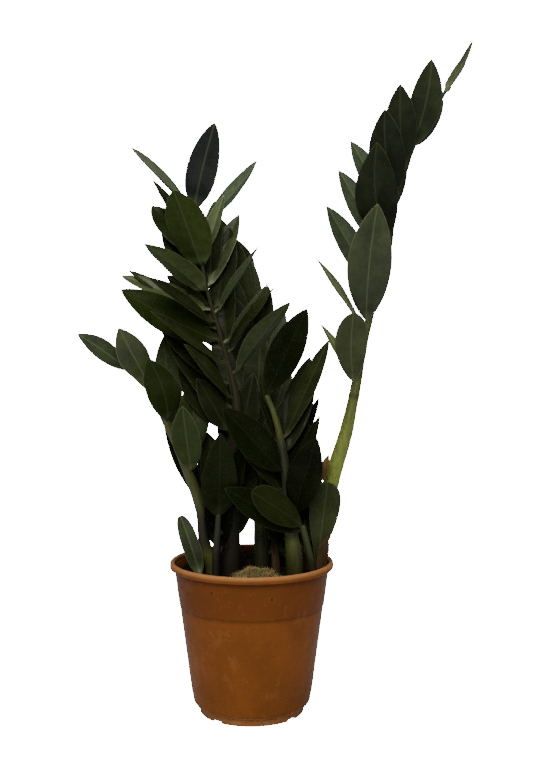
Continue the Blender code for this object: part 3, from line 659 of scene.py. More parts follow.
def pot_finish():
    made, tree, shader = finish_of("terracotta_plastic", POT_CLAY, IOR=1.4, Coat_Roughness=0.35,
                                   Specular_IOR_Level=0.06)
    broad = use_group(tree, "patches", Size=0.045)["Amount"]
    small = use_group(tree, "patches", Size=0.009, Shift=3.0)["Amount"]
    smears = use_group(tree, "patches", Size=0.014, Stretch=(1, 1, 0.6), Shift=11.0)["Amount"]
    flecks = use_group(tree, "specks", Size=0.0035, Share=0.10)["Amount"]
    x, y, height = split(tree, node_of(tree, "ShaderNodeTexCoord", output=3))
    radius = (x * x + y * y).step("SQRT")
    colour = tint(broad * 0.75 + small * 0.15, POT_CLAY, POT_DEEP)
    worn = ramp(smears, 0.80, 1.0) * 0.045 + flecks * 0.05
    # Painted highlight: the top of the lip is lightened toward the pale colour where light falls on it.
    edge = ramp(height, POT_HEIGHT - 5 * MM, POT_HEIGHT - 1 * MM) * 0.38
    grime = (1.0 - ramp(height, 0.002, 0.010)) * small * 0.35
    # Painted highlight: a thin pale line along the body's lower edge, just above the foot.
    bottom_edge_highlight = ramp(height, FOOT_HEIGHT - 0.6 * MM, FOOT_HEIGHT)
    bottom_edge_highlight = bottom_edge_highlight * (1.0 - ramp(height, FOOT_HEIGHT + 0.9 * MM, FOOT_HEIGHT + 1.8 * MM))
    # Painted light: the foot is lightened toward the pale colour, more in some patches, where too little
    # light reaches it.
    foot = 1.0 - ramp(height, FOOT_HEIGHT - 1.2 * MM, FOOT_HEIGHT - 0.8 * MM)
    shade = ramp(height, BAND_HEIGHT - 0.5 * MM, BAND_HEIGHT + 0.5 * MM)
    shade = shade * (1.0 - ramp(height, POT_NECK, POT_NECK + 1 * MM))
    under = ramp(height, BAND_HEIGHT - 5 * MM, BAND_HEIGHT - 0.5 * MM)
    under = under * (1.0 - ramp(height, BAND_HEIGHT - 0.5 * MM, BAND_HEIGHT))
    neck = ramp(height, POT_NECK - 9 * MM, POT_NECK)
    colour = tint(shade * (0.42 + neck * 0.3) + under * 0.5, colour, POT_SHADE)
    # The pale colour takes real wear and flecks, and the painted highlights and light of the lip, the lower
    # edge and the foot.
    colour = tint(worn + edge + bottom_edge_highlight * 0.8 + foot * (0.12 + small * 0.3), colour, POT_CHALK_AND_HIGHLIGHT)
    colour = tint(grime, colour, POT_GRIME)
    # Painted shade: the inside of the wall near the rim is darkened almost to black, standing in for the
    # shade inside the pot.
    slope = (NECK_RADIUS - BASE_RADIUS) / (POT_NECK - FOOT_HEIGHT)
    depth = (height - FOOT_HEIGHT) * slope + BASE_RADIUS - radius
    inner_wall_shade = ramp(depth, 0.6 * MM, 1.3 * MM) * ramp(height, 0.12, 0.13)
    colour = tint(inner_wall_shade * (0.80 + small * 0.15), colour, POT_INNER_SHADE)
    feed(shader.inputs["Base Color"], colour, tree)
    feed(shader.inputs["Roughness"], 0.42 + small * 0.08 + worn * 0.6 + grime * 0.3 + inner_wall_shade * 0.3, tree)
    feed(shader.inputs["Coat Weight"], 0.012 - worn * 0.05, tree)
    grain = use_group(tree, "grain", Size=0.0009, Depth=0.00003)["Height"]
    waves = use_group(tree, "grain", Size=0.024, Stretch=(1, 1, 0.6), Depth=0.0006)["Height"]
    set_height(tree, shader, grain + waves - flecks * 0.00003)
    return made


SOIL_DARK = (0.003, 0.0025, 0.002)
SOIL_BROWN = (0.014, 0.009, 0.005)
SOIL_BITS = (0.11, 0.07, 0.035)


def soil_finish():
    made, tree, shader = finish_of("potting_soil", (0.02, 0.014, 0.009), Specular_IOR_Level=0.1)
    crumbs = use_group(tree, "patches", Size=0.0035)["Amount"]
    damp = use_group(tree, "patches", Size=0.03, Shift=5.0)["Amount"]
    bits = use_group(tree, "specks", Size=0.004, Share=0.18)["Amount"]
    colour = tint(crumbs * 0.8 + damp * 0.2, SOIL_DARK, SOIL_BROWN)
    colour = tint(bits * 0.4, colour, SOIL_BITS)
    feed(shader.inputs["Base Color"], colour, tree)
    feed(shader.inputs["Roughness"], 0.82 + crumbs * 0.15 - damp * 0.1, tree)
    rough = use_group(tree, "grain", Size=0.0014, Depth=0.0009)["Height"]
    set_height(tree, shader, rough)
    return made


MOSS_OLIVE = (0.10, 0.082, 0.018)
MOSS_GOLD = (0.50, 0.31, 0.12)
MOSS_GREEN = (0.14, 0.19, 0.035)


def moss_finish():
    made, tree, shader = finish_of("moss_strands", (0.25, 0.22, 0.08))
    strand, shade, kind = split(tree, attribute(tree, "strand"))
    broad = use_group(tree, "patches", Size=0.007)["Amount"]
    colour = tint(shade * 0.7 + broad * 0.3, MOSS_OLIVE, MOSS_GOLD)
    colour = tint(ramp(kind, 0.72, 0.8), colour, MOSS_GREEN)
    colour = brighten(colour, 0.22 + strand * 1.2)
    feed(shader.inputs["Base Color"], colour, tree)
    feed(shader.inputs["Roughness"], 0.78 + broad * 0.18, tree)
    rough = use_group(tree, "grain", Size=0.0009, Depth=0.0006)["Height"]
    set_height(tree, shader, rough)
    return made


FINISH = {
    "leaf": leaf_finish(),
    "stem": stem_finish(),
    "dry": dry_finish(),
    "pot": pot_finish(),
    "soil": soil_finish(),
    "moss": moss_finish(),
}


# ---------------------------------------------------------------- growing pieces from node trees

def store(geometry, name, value):
    settings = {"data_type": "FLOAT_VECTOR", "domain": "POINT"}
    return node_of(geometry.tree, "GeometryNodeStoreNamedAttribute", settings, Geometry=geometry,
                   Name=name, Value=value)


def stored(tree, name, data_type="FLOAT"):
    return node_of(tree, "GeometryNodeInputNamedAttribute", {"data_type": data_type}, Name=name)


def close_tree(geometry, material, result):
    """Smooth, made real and given its finish: the end of every growing tree."""
    tree = geometry.tree
    geometry = node_of(tree, "GeometryNodeSetShadeSmooth", Geometry=geometry)
    geometry = node_of(tree, "GeometryNodeRealizeInstances", Geometry=geometry)
    geometry = node_of(tree, "GeometryNodeSetMaterial", Geometry=geometry, Material=material)
    feed(result.inputs["Geometry"], geometry, tree)
    return tree


def leaflet_tree():
    """A leaflet on its short stalk: a grid with rows from foot to tip and columns round it."""
    inputs = [
        ("Foot", "Vector", (0, 0, 0)), ("Line", "Vector", (0, 0, 0.1)), ("Inward", "Vector", (0, 0, 0)),
        ("Across", "Vector", (1, 0, 0)), ("Facing", "Vector", (0, -1, 0)), ("Width", "Float", 0.03),
        ("Rise", "Float", 0.85), ("Point", "Float", 0.85), ("Sway", "Float", 0.0), ("Fold", "Float", 0.28),
        ("Bow", "Float", 0.02), ("Twist", "Float", 0.0), ("Ripple", "Float", 0.0005),
        ("Thickness", "Float", 0.0007), ("Stalk", "Float", 0.0022), ("Light", "Float", 1.0),
        ("Warmth", "Float", 0.5), ("Seed", "Float", 0.0), ("Material", "Material", None),
    ]
    tree, given, result = new_group("leaflet", "GeometryNodeTree", inputs, [("Geometry", "Geometry")])
    grid = add_node(tree, "GeometryNodeMeshGrid")
    counts = {"Size X": 1.0, "Size Y": 1.0, "Vertices X": LEAF_ROWS, "Vertices Y": LEAF_COLUMNS}
    for label, value in counts.items():
        grid.inputs[label].default_value = value
    row, column, _ = split(tree, Wire(tree, grid.outputs["UV Map"]))
    share = 0.5 - (row * math.pi).step("COSINE") * 0.5
    angle = column * TAU
    cosine = angle.step("COSINE")
    sine = angle.step("SINE")
    side = cosine.step("SIGN") * cosine.step("ABSOLUTE") ** 1.5
    inside = row.step("GREATER_THAN", 0.001) * row.step("LESS_THAN", 0.999)

    peak = given["Rise"] / (given["Rise"] + given["Point"])
    top = peak ** given["Rise"] * (1.0 - peak) ** given["Point"]
    outline = share ** given["Rise"] * (1.0 - share) ** given["Point"] / top * given["Width"] * 0.5
    stalk = given["Stalk"] * 0.5 * (1.0 - share) + 0.00015
    half = outline.step("SMOOTH_MAX", stalk, 0.001) * inside
    neck = (1.0 - ramp(share, 0.015, 0.11)) * inside
    heart = (1.0 - side.step("ABSOLUTE")) ** 3.0
    thick = given["Thickness"] * 0.5 * (1.0 - share * 0.6)
    thick = thick + neck * given["Stalk"] * 0.38
    thick = thick + heart * (1.0 - share) * 0.0005
    thick = thick * sine * inside

    reach = half * side
    length = node_of(tree, "ShaderNodeVectorMath", {"operation": "LENGTH"}, output=1, Vector=given["Line"])
    hump = share * (1.0 - share) * 4.0
    wave = (share * 11.0 + given["Seed"] * TAU + side * 1.3).step("SINE")
    wave = wave * side * side * given["Ripple"] * hump
    lift = (reach * reach + 0.0000012).step("SQRT") * given["Fold"] * (1.0 - neck)
    droop = side * side * side * side * half * 0.10
    rise = lift - droop + thick + wave + given["Bow"] * length * hump
    aside = reach + given["Sway"] * hump
    turn = given["Twist"] * (share - 0.35)
    flat = aside * turn.step("COSINE") - rise * turn.step("SINE")
    up = aside * turn.step("SINE") + rise * turn.step("COSINE")
    root = (1.0 - ramp(share, 0.0, 0.07)) ** 1.5

    steps = (("Line", share), ("Across", flat), ("Facing", up), ("Inward", root))
    moves = [vector_of(tree, "SCALE", given[label], far) for label, far in steps]
    place = sum_of(tree, given["Foot"], *moves)
    shape = Wire(tree, grid.outputs["Mesh"])
    shape = store(shape, "blade", join(tree, reach, share * length, sine))
    # The tint mark carries the leaflet's painted light and shade, its warmth and its distance from the
    # edge.
    shape = store(shape, "tint", join(tree, given["Light"], given["Warmth"], half - reach.step("ABSOLUTE")))
    shape = node_of(tree, "GeometryNodeSetPosition", Geometry=shape, Position=place)
    shape = node_of(tree, "GeometryNodeMergeByDistance", Geometry=shape, Distance=0.00001)
    return close_tree(shape, given["Material"], result)


def stem_tree():
    """A stem round a line of points, each with its thickness, with the small lumps of a fleshy stalk."""
    inputs = [("Geometry", "Geometry", None), ("Lumps", "Float", 0.0003), ("Dry", "Float", 0.0),
              ("Material", "Material", None)]
    tree, given, result = new_group("stem", "GeometryNodeTree", inputs, [("Geometry", "Geometry")])
    line = node_of(tree, "GeometryNodeMeshToCurve", Mesh=given["Geometry"])
    circle = node_of(tree, "GeometryNodeCurvePrimitiveCircle", Resolution=24, Radius=1.0)
    shape = node_of(tree, "GeometryNodeCurveToMesh", Curve=line, Profile_Curve=circle,
                    Scale=stored(tree, "thickness"), Fill_Caps=True)
    place = node_of(tree, "GeometryNodeInputPosition")
    long_lumps = vector_of(tree, "MULTIPLY", place, (1, 1, 0.35))
    lumps = (cloud(tree, long_lumps, 160.0, 2.0) - 0.5) * given["Lumps"] * 2.0
    normal = node_of(tree, "GeometryNodeInputNormal")
    offset = vector_of(tree, "SCALE", normal, lumps)
    shape = node_of(tree, "GeometryNodeSetPosition", Geometry=shape, Offset=offset)
    # The stem mark carries the painted light and shade, the rings and browning, and how dry the stem is.
    shape = store(shape, "stem", join(tree, stored(tree, "light"), stored(tree, "ring"), given["Dry"]))
    return close_tree(shape, given["Material"], result)


def random_float(tree, low, high, seed):
    made = add_node(tree, "FunctionNodeRandomValue", data_type="FLOAT")
    for index, value in ((2, low), (3, high), (8, seed)):
        made.inputs[index].default_value = value
    return Wire(tree, made.outputs[1])


def random_vector(tree, low, high, seed):
    made = add_node(tree, "FunctionNodeRandomValue", data_type="FLOAT_VECTOR")
    for index, value in ((0, low), (1, high), (8, seed)):
        made.inputs[index].default_value = value
    return Wire(tree, made.outputs[0])


def scatter(tree, ground, selection, density, instance, turn, scale, seed):
    """Copies of a small shape spread at random over the chosen faces."""
    points = add_node(tree, "GeometryNodeDistributePointsOnFaces", distribute_method="RANDOM")
    fed = {"Mesh": ground, "Selection": selection, "Density": density, "Seed": seed}
    for label, value in fed.items():
        feed(points.inputs[label], value, tree)
    return node_of(tree, "GeometryNodeInstanceOnPoints", Points=Wire(tree, points.outputs["Points"]),
                   Instance=instance, Rotation=turn(Wire(tree, points.outputs["Rotation"])), Scale=scale)


def crumbs_tree():
    """Soil: its surface, with crumbs of several sizes lying on it."""
    inputs = [
        ("Geometry", "Geometry", None), ("Fine Density", "Float", 260000.0),
        ("Coarse Density", "Float", 26000.0), ("Level", "Float", SOIL_TOP), ("Material", "Material", None),
    ]
    tree, given, result = new_group("soil crumbs", "GeometryNodeTree", inputs, [("Geometry", "Geometry")])
    height = split(tree, node_of(tree, "GeometryNodeInputPosition"))[2]
    top = height.step("GREATER_THAN", given["Level"] - 3 * MM)
    grains = add_node(tree, "GeometryNodeJoinGeometry")
    tree.links.new(given["Geometry"].socket, grains.inputs[0])
    sizes = (("Fine Density", 0.9 * MM, 1, 0.5, 3), ("Coarse Density", 2.1 * MM, 2, 0.5, 9))
    for label, radius, level, least, seed in sizes:
        ball = node_of(tree, "GeometryNodeMeshIcoSphere", Radius=radius, Subdivisions=level)
        spot = node_of(tree, "GeometryNodeInputPosition")
        rough = (cloud(tree, spot, 420.0, 1.0) - 0.5) * radius * 1.6
        normal = node_of(tree, "GeometryNodeInputNormal")
        offset = vector_of(tree, "SCALE", normal, rough)
        ball = node_of(tree, "GeometryNodeSetPosition", Geometry=ball, Offset=offset)
        scale = vector_of(tree, "SCALE", random_vector(tree, (0.6, 0.6, 0.4), (1.4, 1.2, 0.9), seed),
                          random_float(tree, least, 1.3, seed + 1))
        spin = random_vector(tree, (0, 0, 0), (TAU, TAU, TAU), seed + 2)
        copies = scatter(tree, given["Geometry"], top, given[label], ball, lambda upright: spin, scale,
                         seed + 3)
        tree.links.new(copies.socket, grains.inputs[0])
    shape = node_of(tree, "GeometryNodeRealizeInstances", Geometry=Wire(tree, grains.outputs[0]))
    return close_tree(shape, given["Material"], result)


def moss_tree():
    """Moss: a lumpy cushion with curled strands standing all over it."""
    inputs = [
        ("Geometry", "Geometry", None), ("Density", "Float", 1300000.0), ("Length", "Float", 3.4 * MM),
        ("Thickness", "Float", 0.16 * MM), ("Level", "Float", SOIL_TOP), ("Material", "Material", None),
    ]
    tree, given, result = new_group("moss strands", "GeometryNodeTree", inputs, [("Geometry", "Geometry")])
    length = given["Length"]
    line = node_of(tree, "GeometryNodeCurveQuadraticBezier", Resolution=4, Start=(0, 0, 0),
                   Middle=join(tree, 0.0, 0.0, length * 0.7),
                   End=join(tree, length * 0.8, length * 0.2, length * 0.75))
    along = node_of(tree, "GeometryNodeSplineParameter")
    line = node_of(tree, "GeometryNodeStoreNamedAttribute", {"data_type": "FLOAT", "domain": "POINT"},
                   Geometry=line, Name="along", Value=along)
    circle = node_of(tree, "GeometryNodeCurvePrimitiveCircle", Resolution=3, Radius=1.0)
    strand = node_of(tree, "GeometryNodeCurveToMesh", Curve=line, Profile_Curve=circle,
                     Scale=given["Thickness"] * (1.0 - along * 0.7), Fill_Caps=True)
    height = split(tree, node_of(tree, "GeometryNodeInputPosition"))[2]
    top = height.step("GREATER_THAN", given["Level"] + 0.6 * MM)
    scale = join(tree, *[random_float(tree, 0.5, 1.5, 21)] * 3)

    def lean(upright):
        spin = random_vector(tree, (-0.7, -0.7, 0), (0.7, 0.7, TAU), 22)
        spin = node_of(tree, "FunctionNodeEulerToRotation", Euler=spin)
        return node_of(tree, "FunctionNodeRotateRotation", {"rotation_space": "LOCAL"}, Rotation=upright,
                       Rotate_By=spin)

    copies = scatter(tree, given["Geometry"], top, given["Density"], strand, lean, scale, 23)
    shade = join(tree, 0.0, random_float(tree, 0.0, 1.0, 24), random_float(tree, 0.0, 1.0, 25))
    copies = node_of(tree, "GeometryNodeStoreNamedAttribute",
                     {"data_type": "FLOAT_VECTOR", "domain": "INSTANCE"}, Geometry=copies, Name="shade",
                     Value=shade)
    copies = node_of(tree, "GeometryNodeRealizeInstances", Geometry=copies)
    colour = sum_of(tree, stored(tree, "shade", "FLOAT_VECTOR"),
                    join(tree, stored(tree, "along"), 0.0, 0.0))
    copies = store(copies, "strand", colour)
    ground = store(given["Geometry"], "strand", (0.0, 0.3, 0.0))
    both = add_node(tree, "GeometryNodeJoinGeometry")
    tree.links.new(copies.socket, both.inputs[0])
    tree.links.new(ground.socket, both.inputs[0])
    return close_tree(Wire(tree, both.outputs[0]), given["Material"], result)


TREES = {"leaflet": leaflet_tree(), "stem": stem_tree(), "crumbs": crumbs_tree(), "moss": moss_tree()}


def new_object(name, mesh):
    made = bpy.data.objects.new(name, mesh)
    bpy.context.scene.collection.objects.link(made)
    return made


def settle(item):
    """Turn an object and its modifiers into a plain mesh in place."""
    bpy.context.view_layer.update()
    seen = item.evaluated_get(bpy.context.evaluated_depsgraph_get())
    mesh = bpy.data.meshes.new_from_object(seen)
    item.modifiers.clear()
    item.data = mesh
    mesh.name = item.name
    return item


def grow(name, kind, values, mesh=None):
    """A piece grown by one of the trees, with its inputs set by their names."""
    item = new_object(name, mesh or bpy.data.meshes.new(name))
    tree = TREES[kind]
    modifier = item.modifiers.new(kind, "NODES")
    modifier.node_group = tree
    for socket in tree.interface.items_tree:
        if socket.in_out == "INPUT" and socket.name in values:
            value = values[socket.name]
            modifier[socket.identifier] = tuple(value) if isinstance(value, Vector) else value
    return settle(item)


def hand_over(item, slot, *nodes):
    """Hang a finished piece on the root body and hide the solids it stands for; slot, what it is made of,
    is not used.
    """
    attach(item, "root")
    if nodes:
        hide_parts(*nodes)


# ---------------------------------------------------------------- pot, soil and moss

def wall_radius(z):
    """Outer radius of the pot's tapering wall at height z, without the band's step."""
    share = (z - FOOT_HEIGHT) / (POT_NECK - FOOT_HEIGHT)
    return BASE_RADIUS + (NECK_RADIUS - BASE_RADIUS) * share


def inner_radius(z):
    return wall_radius(z) - WALL


def arc(radius, height, bend, start, end, steps=6):
    """Points of an arc in the profile, about (radius, height), from one angle to the other in degrees."""
    points = []
    for step in range(steps + 1):
        angle = math.radians(start + (end - start) * step / steps)
        points.append((radius + bend * math.cos(angle), height + bend * math.sin(angle)))
    return points


def pot_profile():
    corner = 3 * MM
    round_top = LIP_WIDTH / 2
    profile = [(0, FLOOR_TOP), (PAD_RADIUS, FLOOR_TOP), (DRAIN_CIRCLE + 8 * MM, FLOOR_TOP)]
    profile += arc(inner_radius(FLOOR_TOP) - corner, FLOOR_TOP + corner, corner, -90, 0)
    profile += [(inner_radius(z * MM), z * MM) for z in range(20, 148, 16)]
    profile += arc(LIP_RADIUS - LIP_WIDTH - 1 * MM, POT_HEIGHT - 5.5 * MM, 1 * MM, -60, 0, 3)
    profile += arc(LIP_RADIUS - round_top, POT_HEIGHT - round_top, round_top, 180, 0, 12)
    profile += [(LIP_RADIUS + 0.15 * MM, POT_HEIGHT - 4.5 * MM), (LIP_RADIUS, POT_NECK + 2.5 * MM)]
    profile += arc(LIP_RADIUS - 1.2 * MM, POT_NECK + 1.2 * MM, 1.2 * MM, 0, -90, 5)
    profile += arc(NECK_RADIUS + 1.4 * MM, POT_NECK - 1.4 * MM, 1.4 * MM, 90, 180, 4)
    profile += [(wall_radius(z * MM) + 0.3 * MM, z * MM) for z in (143, 135, 127, 119, 113)]
    step_edge = wall_radius(BAND_HEIGHT) + 0.4 * MM
    profile += arc(step_edge - 0.7 * MM, BAND_HEIGHT + 0.7 * MM, 0.7 * MM, 0, -85, 5)
    profile += arc(step_edge - BAND_STEP + 0.4 * MM, BAND_HEIGHT - 0.5 * MM, 0.4 * MM, 95, 180, 3)
    profile += [(wall_radius(z * MM) - 0.3 * MM, z * MM) for z in (108, 96, 84, 72, 60, 48, 36, 24)]
    profile += arc(BASE_RADIUS - BASE_CORNER, FOOT_HEIGHT + BASE_CORNER, BASE_CORNER, 5, -85, 9)
    profile += arc(FOOT_RADIUS + 1 * MM, FOOT_HEIGHT - 1 * MM, 1 * MM, 90, 180, 4)
    profile += arc(FOOT_RADIUS - 1 * MM, 1 * MM, 1 * MM, 0, -90, 4)
    profile += [(FOOT_RADIUS - FOOT_WIDTH, 0), (FOOT_RADIUS - FOOT_WIDTH - 1 * MM, RECESS)]
    profile += [(PAD_RADIUS + 1 * MM, RECESS), (PAD_RADIUS, 0), (0, 0)]
    return profile


def turned(name, profile, steps):
    mesh = bpy.data.meshes.new(name)
    edges = [(i, i + 1) for i in range(len(profile) - 1)]
    mesh.from_pydata([(r, 0, z) for r, z in profile], edges, [])
    item = new_object(name, mesh)
    screw = item.modifiers.new("turn", "SCREW")
    screw.steps = steps
    screw.render_steps = steps
    screw.use_merge_vertices = True
    screw.merge_threshold = 0.00001
    screw.use_smooth_shade = True
    return item


def cut_away(item, work, where, turn=0.0):
    """Take a bmesh tool, set at a place and turned about Z, out of a piece."""
    mesh = bpy.data.meshes.new("tool")
    work.to_mesh(mesh)
    work.free()
    tool = new_object("tool", mesh)
    tool.location = where
    tool.rotation_euler.z = turn
    step = item.modifiers.new("cut", "BOOLEAN")
    step.operation = "DIFFERENCE"
    step.object = tool
    settle(item)
    bpy.data.objects.remove(tool)


def make_pot():
    pot = settle(turned("pot_turned", pot_profile(), POT_STEPS))
    for index in range(DRAIN_COUNT):
        angle = TAU * index / DRAIN_COUNT
        work = bmesh.new()
        bmesh.ops.create_cone(work, cap_ends=True, segments=24, radius1=DRAIN_RADIUS,
                              radius2=DRAIN_RADIUS, depth=30 * MM)
        cut_away(pot, work, (DRAIN_CIRCLE * math.cos(angle), DRAIN_CIRCLE * math.sin(angle), 0))
    for degrees in FOOT_NOTCH_ANGLES:
        angle = math.radians(degrees)
        middle = FOOT_RADIUS - FOOT_WIDTH / 2
        work = bmesh.new()
        bmesh.ops.create_cube(work, size=1)
        bmesh.ops.scale(work, vec=FOOT_NOTCH, verts=work.verts)
        cut_away(pot, work, (middle * math.cos(angle), middle * math.sin(angle), 0), angle)
    pot.data.materials.clear()
    pot.data.materials.append(FINISH["pot"])
    pot.data.shade_smooth()
    pot.data.set_sharp_from_angle(angle=math.radians(40))
    hand_over(pot, "pot", "pot")


def soil_swell(x, y):
    """How far the soil's surface stands above or below its level."""
    place = Vector((x, y, 0))
    broad = noise.noise(place * 35) * 2.6 * MM
    fine = noise.noise(place * 190 + Vector((7, 3, 0))) * 1.5 * MM
    edge = 1 - min(1, max(0, (math.hypot(x, y) - 62 * MM) / (12 * MM)))
    heap = 10 * MM * min(1, max(0, (y - 5 * MM) / (45 * MM)))
    return heap + (broad + fine) * (0.3 + 0.7 * edge) - 2.0 * MM * (1 - edge)


def make_soil():
    low = FLOOR_TOP + GAP
    rim = inner_radius(SOIL_TOP - 4 * MM) - GAP
    rings = 36
    profile = [(rim * index / rings, SOIL_TOP) for index in range(rings + 1)]
    profile += [(inner_radius(z * MM) - GAP, z * MM) for z in (128, 90, 50, 14)]
    profile += [(inner_radius(low) - 3.5 * MM, low), (0, low)]
    soil = settle(turned("soil_ground", profile, 140))
    for vertex in soil.data.vertices:
        if vertex.co.z > SOIL_TOP - 0.1 * MM:
            vertex.co.z += soil_swell(vertex.co.x, vertex.co.y)
    ground = soil.data
    bpy.data.objects.remove(soil)
    soil = grow("soil_crumbly", "crumbs", {"Material": FINISH["soil"]}, ground)
    hand_over(soil, "soil", "soil")


def make_moss():
    work = bmesh.new()
    bmesh.ops.create_icosphere(work, subdivisions=5, radius=1)
    wide, deep, high = (radius * spare for radius, spare in zip(MOSS_RADII, (1.0, 1.05, 1.32)))
    for vertex in work.verts:
        lump = 0.93 + 0.22 * noise.noise(vertex.co * 2.3) + 0.10 * noise.noise(vertex.co * 7)
        x, y, z = vertex.co * lump
        up = SOIL_TOP + high * max(z, -0.12)
        vertex.co = (MOSS_CENTRE[0] + wide * x, MOSS_CENTRE[1] + deep * y, up)
    mesh = bpy.data.meshes.new("moss")
    work.to_mesh(mesh)
    work.free()
    moss = grow("moss_cushion", "moss", {"Material": FINISH["moss"]}, mesh)
    hand_over(moss, "moss", "moss")


# ---------------------------------------------------------------- stems

def smooth_route(points, stretch=STEM_STRETCH):
    """Points about stretch radii apart on a smooth curve through the given (x, y, z, radius) points."""
    knots = [Vector((x * CM, y * CM, z * CM, r * MM)) for x, y, z, r in points]
    route = []
    for index in range(len(knots) - 1):
        before = knots[max(index - 1, 0)]
        start, end = knots[index], knots[index + 1]
        after = knots[min(index + 2, len(knots) - 1)]
        length = (end.xyz - start.xyz).length
        count = max(1, round(length / (stretch * start.w)))
        for step in range(count):
            t = step / count
            a = 2 * start
            b = (end - before) * t
            c = (2 * before - 5 * start + 4 * end - after) * t * t
            d = (3 * start - before - 3 * end + after) * t * t * t
            route.append((a + b + c + d) / 2)
    route.append(knots[-1])
    return route


def between(table, at):
    """Read a value from a table of (place, value) rows, straight between its rows."""
    if at <= table[0][0]:
        return table[0][1]
    for (low, first), (high, second) in zip(table, table[1:]):
        if at <= high:
            return first + (second - first) * (at - low) / (high - low)
    return table[-1][1]


def bell(distance, width):
    return math.exp(-(distance / width) ** 2)


def trim(stem, z):
    return between(STEM_TRIMS.get(stem, [(0, 1)]), z / CM)


def make_stem(name, points):
    route = smooth_route(points, 0.6)
    along = (route[-1].xyz - route[-2].xyz).normalized()
    last = route[-1]
    for step in range(1, 6):
        angle = math.pi / 2 * step / 5
        place = last.xyz + along * last.w * 0.8 * math.sin(angle)
        route.append(Vector((*place, last.w * math.cos(angle))))
    feet = [row[2] * CM for row in LEAVES + MORE_LEAVES if row[1] == name and row[2] is not END]
    rings = [z * CM for z in STEM_RINGS.get(name, [])]
    mesh = bpy.data.meshes.new(name)
    mesh.from_pydata([place.xyz for place in route], [(i, i + 1) for i in range(len(route) - 1)], [])
    labels = ("thickness", "light", "ring")
    marks = {label: mesh.attributes.new(label, "FLOAT", "POINT").data for label in labels}
    for index, place in enumerate(route):
        knuckle = sum(bell(place.z - foot, 2.2 * place.w) for foot in feet)
        ring = min(1, sum(bell(place.z - z, 1.6 * MM) for z in rings))
        swell = 1 + 0.07 * min(1, knuckle) + 0.06 * ring
        marks["thickness"][index].value = max(0.05 * MM, place.w * trim(name, place.z) * swell)
        marks["light"][index].value = between(STEM_PAINTED_LIGHT[name], place.z / CM)
        marks["ring"][index].value = max(ring, between(STEM_BROWNING.get(name, [(0, 0)]), place.z / CM))
    dry = name == "dry_stalk"
    values = {"Material": FINISH["stem"], "Dry": 1.0 if dry else 0.0, "Lumps": (0.9 if dry else 0.3) * MM}
    stem = grow(name + "_skin", "stem", values, mesh)
    hand_over(stem, "dry" if dry else "stem", name)


# ---------------------------------------------------------------- leaflets

def foot_on_stem(stem, height, tip):
    """Where a leaf leaves its stem and which way is out of the stem there."""
    route = smooth_route(STEMS[stem])
    if height is END:
        along = (route[-1].xyz - route[-2].xyz).normalized()
        return route[-1].xyz + along * (PETIOLE_WIDTH / 2 + GAP), along
    z = height * CM
    upper = next(index for index, place in enumerate(route) if place.z >= z)
    low, high = route[upper - 1], route[upper]
    place = low.lerp(high, (z - low.z) / (high.z - low.z))
    along = (high.xyz - low.xyz).normalized()
    outward = tip - place.xyz
    outward = (outward - along * outward.dot(along)).normalized()
    return place.xyz + outward * (place.w + PETIOLE_WIDTH / 2 + GAP), outward


def leaf_axes(line, turn):
    """The directions across a leaf and out of its upper face."""
    along = line.normalized()
    front = Vector((0, -1, 0))
    front = (front - along * front.dot(along)).normalized()
    side = along.cross(front)
    facing = front * math.cos(math.radians(turn)) + side * math.sin(math.radians(turn))
    return along.cross(facing), facing


def make_leaf(name, foot, inward, tip, width, turn, kind="leaf", stands_for=None, **changes):
    chance = random.Random(name)
    across, facing = leaf_axes(tip - foot, turn)
    rise, point = ROUND_BLADES.get(name, POINTED_BLADE)
    light, warmth = LEAF_PAINTED_LIGHT_AND_WARMTH.get(name, LEAF_PAINTED_LIGHT_AND_WARMTH.get(name.split("_")[0], (1.0, 0.5)))
    values = {
        "Foot": foot, "Line": tip - foot, "Inward": inward, "Across": across, "Facing": facing,
        "Width": width, "Rise": rise, "Point": point, "Sway": SWAY.get(name, 0) * CM, "Fold": LEAF_FOLD,
        "Bow": chance.uniform(0.0, 0.03), "Twist": chance.uniform(-0.16, 0.16),
        "Ripple": chance.uniform(0.2, 0.7) * MM, "Light": light * chance.uniform(0.85, 1.15),
        "Warmth": warmth + chance.uniform(-0.15, 0.15), "Seed": chance.random(), "Material": FINISH[kind],
    }
    values.update(LEAF_CHANGES.get(name, {}))
    values.update(changes)
    leaf = grow(name + "_blade", "leaflet", values)
    hand_over(leaf, kind, *([stands_for] if stands_for else []))


def make_leaves():
    own_nodes = {row[0] for row in LEAVES}
    for name, stem, height, tip, width, turn in LEAVES + MORE_LEAVES:
        end = Vector(tip) * CM
        foot, outward = foot_on_stem(stem, height, end)
        sunk = LEAF_SUNK + (0 if height is END else (1 - trim(stem, height * CM)) * 5 * MM)
        make_leaf(name, foot, outward * -sunk, end, width * CM, turn,
                  stands_for=name if name in own_nodes else None)
    for name, foot, tip, width, turn in SHOOTS:
        dry = name.startswith("dry")
        changes = {"Stalk": 5 * MM, "Thickness": 0.6 * MM, "Fold": 0.5, "Ripple": 0.9 * MM} if dry else {}
        rooted = foot[2] * CM < SOIL_TOP + 8 * MM
        inward = Vector((0, 0, -SHOOT_SUNK if rooted else 0))
        make_leaf(name, Vector(foot) * CM, inward, Vector(tip) * CM, width * CM, turn,
                  "dry" if dry else "leaf", name, **changes)


# ---------------------------------------------------------------- floor, light and camera

FLOOR_SIZE = 6
FLOOR_WHITE = (0.85, 0.85, 0.85, 1)
FLOOR_GLOW = 30.0
SKY_LIGHT = 0.26
SKY_SEEN = 30.0
WINDOW = {"place": (-0.12, -1.5, 1.3), "target": (0, 0, 0.25), "size": 0.9, "power": 34}
TOP_LAMP = {"place": (-0.2, -0.2, 1.8), "target": (0, 0, 0.3), "size": 0.8, "power": 22}
CAMERA_PLACE = (0.024, -1.15, 0.404)
CAMERA_DIP = 3.11
CAMERA_LENS = 52.97


